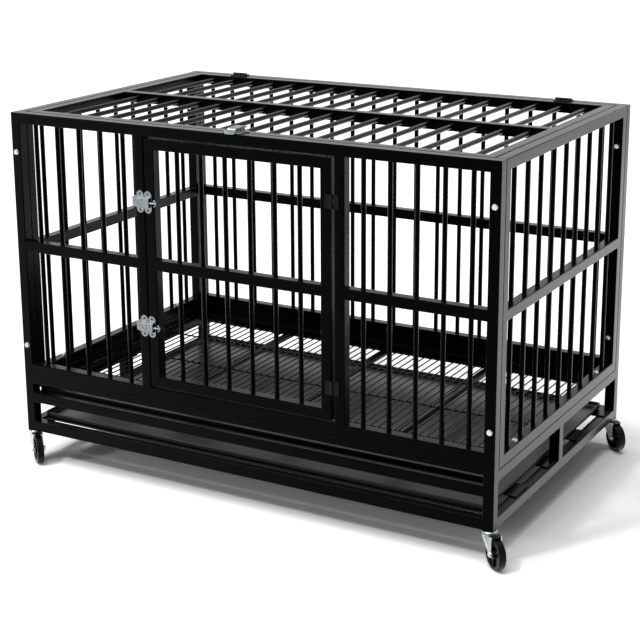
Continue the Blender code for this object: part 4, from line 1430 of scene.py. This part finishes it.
@dataclass(frozen=True)
class Caster:
    """A swivel caster, drawn about its stem: x towards the wheel, z up from the floor.

    The lists of points named after an edge, root, roll, lip, dome or washer rim are steps
    from the corner that they soften: out along the radius, then up or out along the axle.
    """

    name: str  # the start of its nodes' names
    heading: float = -40.0  # where the wheel trails, in degrees from straight right
    trail: float = 0.0295  # how far the axle trails the stem
    wheel_radius: float = 0.033
    half_tread: float = 0.008  # half the wheel's width
    tyre_wall: float = 0.0042  # from the rim to where the tyre is widest
    shoulder: float = 0.0022  # the radius of the tread's edge
    rim_radius: float = 0.025
    rim_face: float = 0.0073  # half the rim's width
    rim_edge: Points = (
        (0.0, -0.0007), (0.0005, 0.0), (0.0015, 0.0001), (0.0020, -0.0006), (0.0025, 0.0)
    )
    rim_root: Points = ((-0.0014, 0.0002), (-0.0004, 0.0012))
    web_half: float = 0.0025  # half the web's thickness
    web_root: Points = ((0.0, 0.0008), (0.0008, 0.0))
    hub_radius: float = 0.010
    hub_half: float = 0.009  # half the hub's width
    hub_edge: Points = ((-0.0006, 0.0), (0.0, -0.0005))
    bore: float = 0.0043
    rib_half: float = 0.0011  # half a rib's width at the rim
    rib_root: float = 1.5  # how much wider it is at the hub
    rib_lap: float = 0.0008  # how far it reaches into the hub
    rib_edge: float = 0.0006
    rib_drop: float = 0.0004  # how far it lies inside the rim's face and the web's
    rib_rim_lap: float = 0.0002
    rib_count: int = 3
    rib_phase: float = 30.0  # the first rib's angle, in degrees
    fork_inner: float = 0.010  # half the clear width of the fork
    fork_outer: float = 0.0125  # half its overall width
    crown_top: float = 0.0697
    crown_sheet: float = 0.0022
    crown_front: float = -0.012
    crown_rear: float = 0.0155
    crown_skirt: float = 0.060  # how low the crown's folded sides reach
    crown_bend: float = 0.0026
    crown_inner_bend: float = 0.0008
    crown_edge: float = 0.0003
    leg_inset: float = 0.00004  # how far a leg's faces lie inside the crown's
    leg_bend: float = 0.003
    leg_knee: float = 0.0568  # how high its front edge bends
    leg_top: float = 0.064  # how high its front edge starts
    leg_rear: float = 0.002  # how far it stands behind the axle
    leg_heel: Points = ((0.0006, 0.0405), (0.0, 0.0425))  # x from its rear edge, and height
    leg_drop: float = 0.0002  # from the crown's top to the leg's
    leg_notch: float = 0.001
    leg_notch_rear: float = 0.0012
    eye_radius: float = 0.0068  # round the axle
    bead: Points = ((-0.0035, 0.0595), (0.0075, 0.0505), (0.0185, 0.0415))  # x and height
    bead_sink: float = 0.0009
    bead_radius: float = 0.0016
    cup_radius: float = 0.016
    cup_top: float = 0.0727
    cup_bottom: float = 0.070
    cup_roll: Points = ((-0.0018, 0.0), (-0.0006, -0.0004), (0.0, -0.0012))
    cup_lip: Points = ((-0.0002, 0.0007), (-0.0010, 0.0))
    stem_radius: float = 0.004
    stem_top: float = 0.103
    king_pin: float = 0.003
    rivet_radius: float = 0.0055
    rivet_top: float = 0.0672
    rivet_bottom: float = 0.0656
    rivet_dome: Points = ((-0.0004, 0.0008), (-0.0018, 0.0002), (-0.0049, 0.0))
    axle_radius: float = 0.004
    axle_head: float = 0.0056  # over the head's corners
    axle_head_height: float = 0.0035
    axle_seat: float = 0.0128  # where the washers lie
    axle_lap: float = 0.001  # how far the axle reaches into its head and nut
    axle_washer: float = 0.0009  # how far a washer stands out beyond the corners
    axle_washer_rim: Points = ((-0.0002, 0.0), (0.0, 0.0002), (0.0, 0.0005), (-0.0002, 0.0007))
    pivot_x: float = 0.0185  # the brake pedal's pin
    pivot_height: float = 0.0669
    pedal_pin: float = 0.0015
    pedal_play: float = 0.0003  # between the pin or barrel and the fork
    pedal_barrel: float = 0.0018
    pedal_lift: float = 5.0  # how far the pedal is parked up, in degrees
    # Place, middle height, half width and half thickness of the pedal's sections
    pedal_sections: Sequence[tuple[float, float, float, float]] = (
        (0.0, 0.0006, 0.0085, 0.0005), (0.0003, 0.0006, 0.0085, 0.0008),
        (0.0140, 0.0006, 0.0085, 0.0008), (0.0170, 0.0011, 0.0083, 0.0008),
        (0.0188, 0.0015, 0.0074, 0.0008), (0.0195, 0.0016, 0.0062, 0.0005),
    )
    pedal_edge: float = 0.00045
    grip_lines: Sequence[float] = (0.0075, 0.0100, 0.0125)
    grip_half: float = 0.0065
    grip_level: float = 0.0014
    grip_radius: float = 0.0004

    @property
    def place(self) -> Matrix:
        """Finds where the caster stands.

        Returns:
            The placement of its stem's axis on the floor, turned to its heading.
        """
        stem = self.name + "_stem"
        foot = Vector((middle(stem, 0), middle(stem, 1), -CAGE.corner.z))
        return Matrix.Translation(foot) @ Matrix.Rotation(math.radians(self.heading), 4, "Z")

    @property
    def side(self) -> Matrix:
        """The drawing of a side view: x towards the wheel, y up, z to the near side."""
        return self.place @ SIDE_VIEW

    @property
    def hub(self) -> Matrix:
        """The side view's drawing moved to the axle."""
        return self.side @ Matrix.Translation((self.trail, self.wheel_radius, 0))

    def make_stem(self) -> None:
        """Makes the stem with its ball cup and the king pin's rivet."""
        profile = [
            (self.stem_radius, self.stem_top),
            (self.stem_radius, self.cup_top),
            *shifted((self.cup_radius, self.cup_top), self.cup_roll),
            *shifted((self.cup_radius, self.cup_bottom), self.cup_lip),
            (self.king_pin, self.cup_bottom),
            (self.king_pin, self.rivet_top),
            (self.rivet_radius, self.rivet_top),
            *shifted((self.rivet_radius, self.rivet_bottom), self.rivet_dome),
        ]
        work = Workpiece(self.place)
        work.turned(profile, 48)
        work.finish(self.name + "_stem", Coat.BRIGHT)

    def crown_section(self, x: float, inset: float) -> Loop:
        """Draws the crown's folded section at one place.

        Args:
            x: the place towards the wheel.
            inset: how far its faces are drawn in.

        Returns:
            The loop, in the drawing's own coordinates.
        """
        outer = self.fork_outer - inset
        inner = self.fork_inner + inset
        top = self.crown_top - inset
        under = self.crown_top - self.crown_sheet + inset
        low = self.crown_skirt + inset
        bend = self.crown_bend
        soft = self.crown_inner_bend
        half = [*arc((outer - bend, top - bend), bend, 90, 0, 6), (outer, low), (inner, low)]
        half += arc((inner - soft, under - soft), soft, 0, 90, 3)
        points = half + [(-y, z) for y, z in reversed(half)]
        return [Vector((x, y, z)) for y, z in points]

    def leg_outline(self) -> list[Point]:
        """Draws one leg of the fork, in the side view.

        Returns:
            The outline.
        """
        bend = self.leg_bend
        notch = self.leg_notch
        rear = self.trail + self.leg_rear
        top = self.crown_top - self.leg_drop
        points = arc((self.crown_front + bend, self.leg_knee), bend, 180, 238, 5)
        points += arc((self.trail, self.wheel_radius), self.eye_radius, 222, 378, 14)
        points += shifted((rear, 0.0), self.leg_heel)
        points += arc((rear - bend, top - bend), bend, 0, 90, 5)
        points += arc((self.crown_rear + self.leg_notch_rear, top - notch), notch, 90, 180, 3)
        points += [(self.crown_rear - notch, self.leg_top), (self.crown_front, self.leg_top)]
        return points

    def make_fork(self) -> None:
        """Makes the pressed fork: a folded crown, two legs and their pressed beads."""
        work = Workpiece(self.place)
        front = self.crown_front
        rear = self.crown_rear
        soft = self.crown_edge
        ends = ((front, soft), (front + soft, 0.0), (rear - soft, 0.0), (rear, soft))
        work.loft([self.crown_section(x, inset) for x, inset in ends])
        work.place = self.side
        eye = arc((self.trail, self.wheel_radius), self.bore, 360, 15, 23)
        pivot = (self.pivot_x, self.pivot_height)
        pin_hole = arc(pivot, self.pedal_pin + self.pedal_play, 360, 24, 14)
        near = self.fork_inner + self.leg_inset
        far = self.fork_outer - self.leg_inset
        for low, high in ((near, far), (-far, -near)):
            work.plate([self.leg_outline(), eye, pin_hole], low, high)
        for side in (-1, 1):
            level = side * (self.fork_outer - self.bead_sink)
            work.bent_wire([(x, y, level) for x, y in self.bead], self.bead_radius, 16)
        work.finish(self.name + "_fork", Coat.BRIGHT)

    def wheel_profile(self) -> list[Point]:
        """Draws the wheel's section from its bore over hub, web, rim, wall and tread.

        Returns:
            Its (radius, height) points, from the near end of the bore to the far one.
        """
        soft = self.shoulder
        side = [
            (self.bore, self.hub_half),
            *shifted((self.hub_radius, self.hub_half), self.hub_edge),
            *shifted((self.hub_radius, self.web_half), self.web_root),
            *shifted((self.rim_radius, self.web_half), self.rim_root),
            *shifted((self.rim_radius, self.rim_face), self.rim_edge),
            (self.rim_radius + self.tyre_wall, self.half_tread),
            *arc((self.wheel_radius - soft, self.half_tread - soft), soft, 90, 0),
        ]
        return side + [(radius, -level) for radius, level in reversed(side)]

    def make_rib(self) -> bpy.types.Object:
        """Makes the rib that the spoke ring copies, on both sides of the web.

        Returns:
            A helper object.
        """
        work = Workpiece()
        start = self.hub_radius - self.rib_lap
        end = self.rim_radius + self.rib_rim_lap
        half = self.rib_half
        root = half * self.rib_root
        outline = [(start, -root), (end, -half), (end, half), (start, root)]
        low = self.web_half - self.rib_drop
        high = self.rim_face - self.rib_drop
        for near, far in ((low, high), (-high, -low)):
            work.plate([outline], near, far, self.rib_edge)
        return work.make_object("wheel_rib")

    def make_wheel(self) -> None:
        """Makes the moulded wheel with its ribs."""
        work = Workpiece(self.hub)
        work.turned(self.wheel_profile(), 72, bored=True)
        rib = self.make_rib()
        values = {
            "Rib": rib,
            "Count": self.rib_count,
            "Phase": math.radians(self.rib_phase),
            "Finish": Coat.WHEEL.material,
        }
        work.add_mesh(SpokeRing().grow(values))
        bpy.data.objects.remove(rib)
        work.finish(self.name + "_wheel", Coat.WHEEL)

    def make_axle(self) -> None:
        """Makes the axle bolt with its washers, head and nut."""
        work = Workpiece(self.hub)
        seat = self.axle_seat
        reach = seat + self.axle_lap
        work.turned([(self.axle_radius, -reach), (self.axle_radius, reach)], 32)
        washer = shifted((self.axle_head + self.axle_washer, seat), self.axle_washer_rim)
        for turn in (0.0, math.pi):
            work.place = self.hub @ Matrix.Rotation(turn, 4, "X")
            work.turned(washer, 32)
            work.hexagon(self.axle_head, washer[-1][1], seat + self.axle_head_height)
        work.finish(self.name + "_axle", Coat.BRIGHT)

    def make_brake(self) -> None:
        """Makes the brake pedal with its pin, barrel and grip lines."""
        pivot = Matrix.Translation((self.pivot_x, 0, self.pivot_height))
        pedal = self.place @ pivot @ Matrix.Rotation(-math.radians(self.pedal_lift), 4, "Y")
        work = Workpiece(pedal)
        loops = []
        for x, rise, half, thick in self.pedal_sections:
            outline = flat_bar(2 * half, 2 * thick, self.pedal_edge, 3)
            loops.append([Vector((x, y, rise + z)) for y, z in outline])
        work.loft(loops)
        for x in self.grip_lines:
            path = [(x, y, self.grip_level) for y in (-self.grip_half, self.grip_half)]
            work.bent_wire(path, self.grip_radius, 10)
        inner = self.fork_inner - self.pedal_play
        pin = [(self.pedal_pin, self.fork_outer), (self.pedal_pin, inner), (self.pedal_barrel, inner)]
        work.place = pedal @ SIDE_VIEW
        work.turned([(radius, -level) for radius, level in pin] + pin[::-1], 24)
        # the pedal takes the hinges' black, partly painted shade for the dark gap under the fork's
        # crown
        work.finish(self.name + "_brake", Coat.HINGE)

    def build(self) -> None:
        """Makes the five pieces."""
        self.make_stem()
        self.make_fork()
        self.make_wheel()
        self.make_axle()
        self.make_brake()


@dataclass
class Studio:
    """The floor, the light and the camera."""

    floor_size: float = 60.0  # the side of the floor, in metres
    floor_seen: float = 1.5  # the floor's colour where it is seen directly
    eye: Sequence[float] = (2.307, -2.665, 1.334)  # from the base frame's front left foot
    yaw: float = 29.55  # how far the view turns left of straight back, in degrees
    pitch: float = 14.82  # how far the view looks down, in degrees
    roll: float = -0.31
    focal_pixels: float = 1556.8  # the focal length in pixels of the 640 pixel image
    shift: float = -0.1  # the vertical lens shift as a share of the image
    sensor_width: float = 36.0  # in mm, as the lens
    surround: float = 0.2  # the strength of the even light that falls on matt surfaces
    # The soft keys at the left: name, where the light goes, its width in degrees, its strength
    keys: Sequence[tuple[str, Sequence[float], float, float]] = (
        ("high_left_key", (0.12, 0.15, -1.0), 44.0, 1.53),
        ("middle_left_key", (0.3, 0.47, -0.75), 7.0, 0.72),
        ("low_left_key", (0.587, 0.809, -0.354), 9.0, 0.5),
    )
    # The card at the right lies on the floor, shines up, and is seen in gloss alone
    card_place: Sequence[float] = (2.6, 1.8, 0.01)
    card_size: float = 4.0
    card_power: float = 40.0

    def make_floor(self) -> None:
        """Makes the pale floor that carries the cage's shadow."""
        half = self.floor_size / 2
        corners = [(-half, -half, 0.0), (half, -half, 0.0), (half, half, 0.0), (-half, half, 0.0)]
        mesh = bpy.data.meshes.new("studio_floor")
        mesh.from_pydata(corners, [], [(0, 1, 2, 3)])
        mesh.materials.append(self.floor_material())
        floor = add_item("studio_floor", mesh)

    def seen_directly(self, tree: bpy.types.NodeTree) -> bpy.types.NodeSocket:
        """Adds a factor that is 1 where the camera, gloss or glass sees the surface.

        Args:
            tree: the tree that gets it.

        Returns:
            The factor.
        """
        path = add_node(tree, "ShaderNodeLightPath", {}).outputs
        factor = path["Is Camera Ray"]
        for name in ("Is Glossy Ray", "Is Transmission Ray"):
            pair = {0: factor, 1: path[name]}
            factor = add_node(tree, "ShaderNodeMath", pair, operation="MAXIMUM").outputs[0]
        return factor

    def floor_material(self) -> bpy.types.Material:
        """Builds the floor's white paper finish.

        Returns:
            A matt white that is lifted to full white where it is seen directly.
        """
        material = bpy.data.materials.new("white studio paper")
        material.use_nodes = True
        tree = material.node_tree
        tree.nodes.remove(tree.nodes["Principled BSDF"])
        mix = {0: self.seen_directly(tree)}
        seen = (self.floor_seen, self.floor_seen, self.floor_seen, 1.0)
        for number, colour in ((1, linear("#e8e8e8")), (2, seen)):
            mix[number] = add_node(tree, "ShaderNodeBsdfDiffuse", {"Color": colour}).outputs[0]
        paper = add_node(tree, "ShaderNodeMixShader", mix)
        fill(tree.nodes["Material Output"], {"Surface": paper.outputs[0]})
        return material

    def make_world(self) -> None:
        """Makes the even white surround."""
        world = bpy.data.worlds.new("white surround")
        world.use_nodes = True
        tree = world.node_tree
        limits = {0: self.seen_directly(tree), 3: self.surround, 4: 1.0}
        strength = add_node(tree, "ShaderNodeMapRange", limits).outputs[0]
        fill(tree.nodes["Background"], {"Color": (1.0, 1.0, 1.0, 1.0), "Strength": strength})
        bpy.context.scene.world = world

    def add_lamp(
        self, name: str, kind: str, direction: Sequence[float], energy: float
    ) -> bpy.types.Object:
        """Adds a lamp.

        Args:
            name: its name.
            kind: its type, SUN or AREA.
            direction: where its light goes.
            energy: its strength, or its power in watts.

        Returns:
            The lamp.
        """
        lamp = bpy.data.lights.new(name, kind)
        lamp.energy = energy
        item = add_item(name, lamp)
        item.rotation_euler = Vector(direction).to_track_quat("-Z", "Y").to_euler()
        return item

    def make_lamps(self) -> None:
        """Hangs the soft keys at the left, and lays the card at the right."""
        for name, direction, width, strength in self.keys:
            self.add_lamp(name, "SUN", direction, strength).data.angle = math.radians(width)
        card = self.add_lamp("right_card", "AREA", (0, 0, 1), self.card_power)
        card.location = self.card_place
        card.data.size = self.card_size
        card.visible_camera = False
        card.visible_diffuse = False

    def make_camera(self) -> None:
        """Places the camera at the photograph's angle."""
        lens = bpy.data.cameras.new("camera")
        lens.sensor_width = self.sensor_width
        lens.lens = self.focal_pixels / IMAGE_SIZE * self.sensor_width
        lens.shift_y = self.shift
        turn = Matrix.Rotation(math.radians(self.yaw), 4, "Z")
        turn @= Matrix.Rotation(math.radians(90 - self.pitch), 4, "X")
        turn @= Matrix.Rotation(math.radians(self.roll), 4, "Z")
        camera = add_item("camera", lens)
        camera.matrix_world = Matrix.Translation(CAGE.corner + Vector(self.eye)) @ turn
        bpy.context.scene.camera = camera

    def build(self) -> None:
        """Builds the whole studio."""
        self.make_camera()
        self.make_floor()
        self.make_world()
        self.make_lamps()
        bpy.context.scene.view_settings.view_transform = "Standard"
        LOG.info("made the studio")


def main() -> None:
    """Builds the studio and dresses the cage."""
    logging.basicConfig(level=logging.INFO, format="%(message)s")
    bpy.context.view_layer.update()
    shop = Tubework()
    levels = ("upper", "lower")
    sides = ("left", "right")
    builders = [Studio(), Panels(shop), Base(shop)]
    builders += [SlideLatch(f"door_latch_{level}") for level in levels]
    builders.append(SlideLatch("roof_latch", on_roof=True))
    builders += [ButtHinge(f"door_hinge_{level}", DOOR_HINGE_LENGTH) for level in levels]
    builders += [ButtHinge(f"roof_hinge_{side}", ROOF_HINGE_LENGTH, on_roof=True) for side in sides]
    builders.append(PanelBolts())
    builders += [Caster(f"caster_{end}_{side}") for end in ("front", "rear") for side in sides]
    for builder in builders:
        builder.build()


if __name__ == "__main__":
    main()
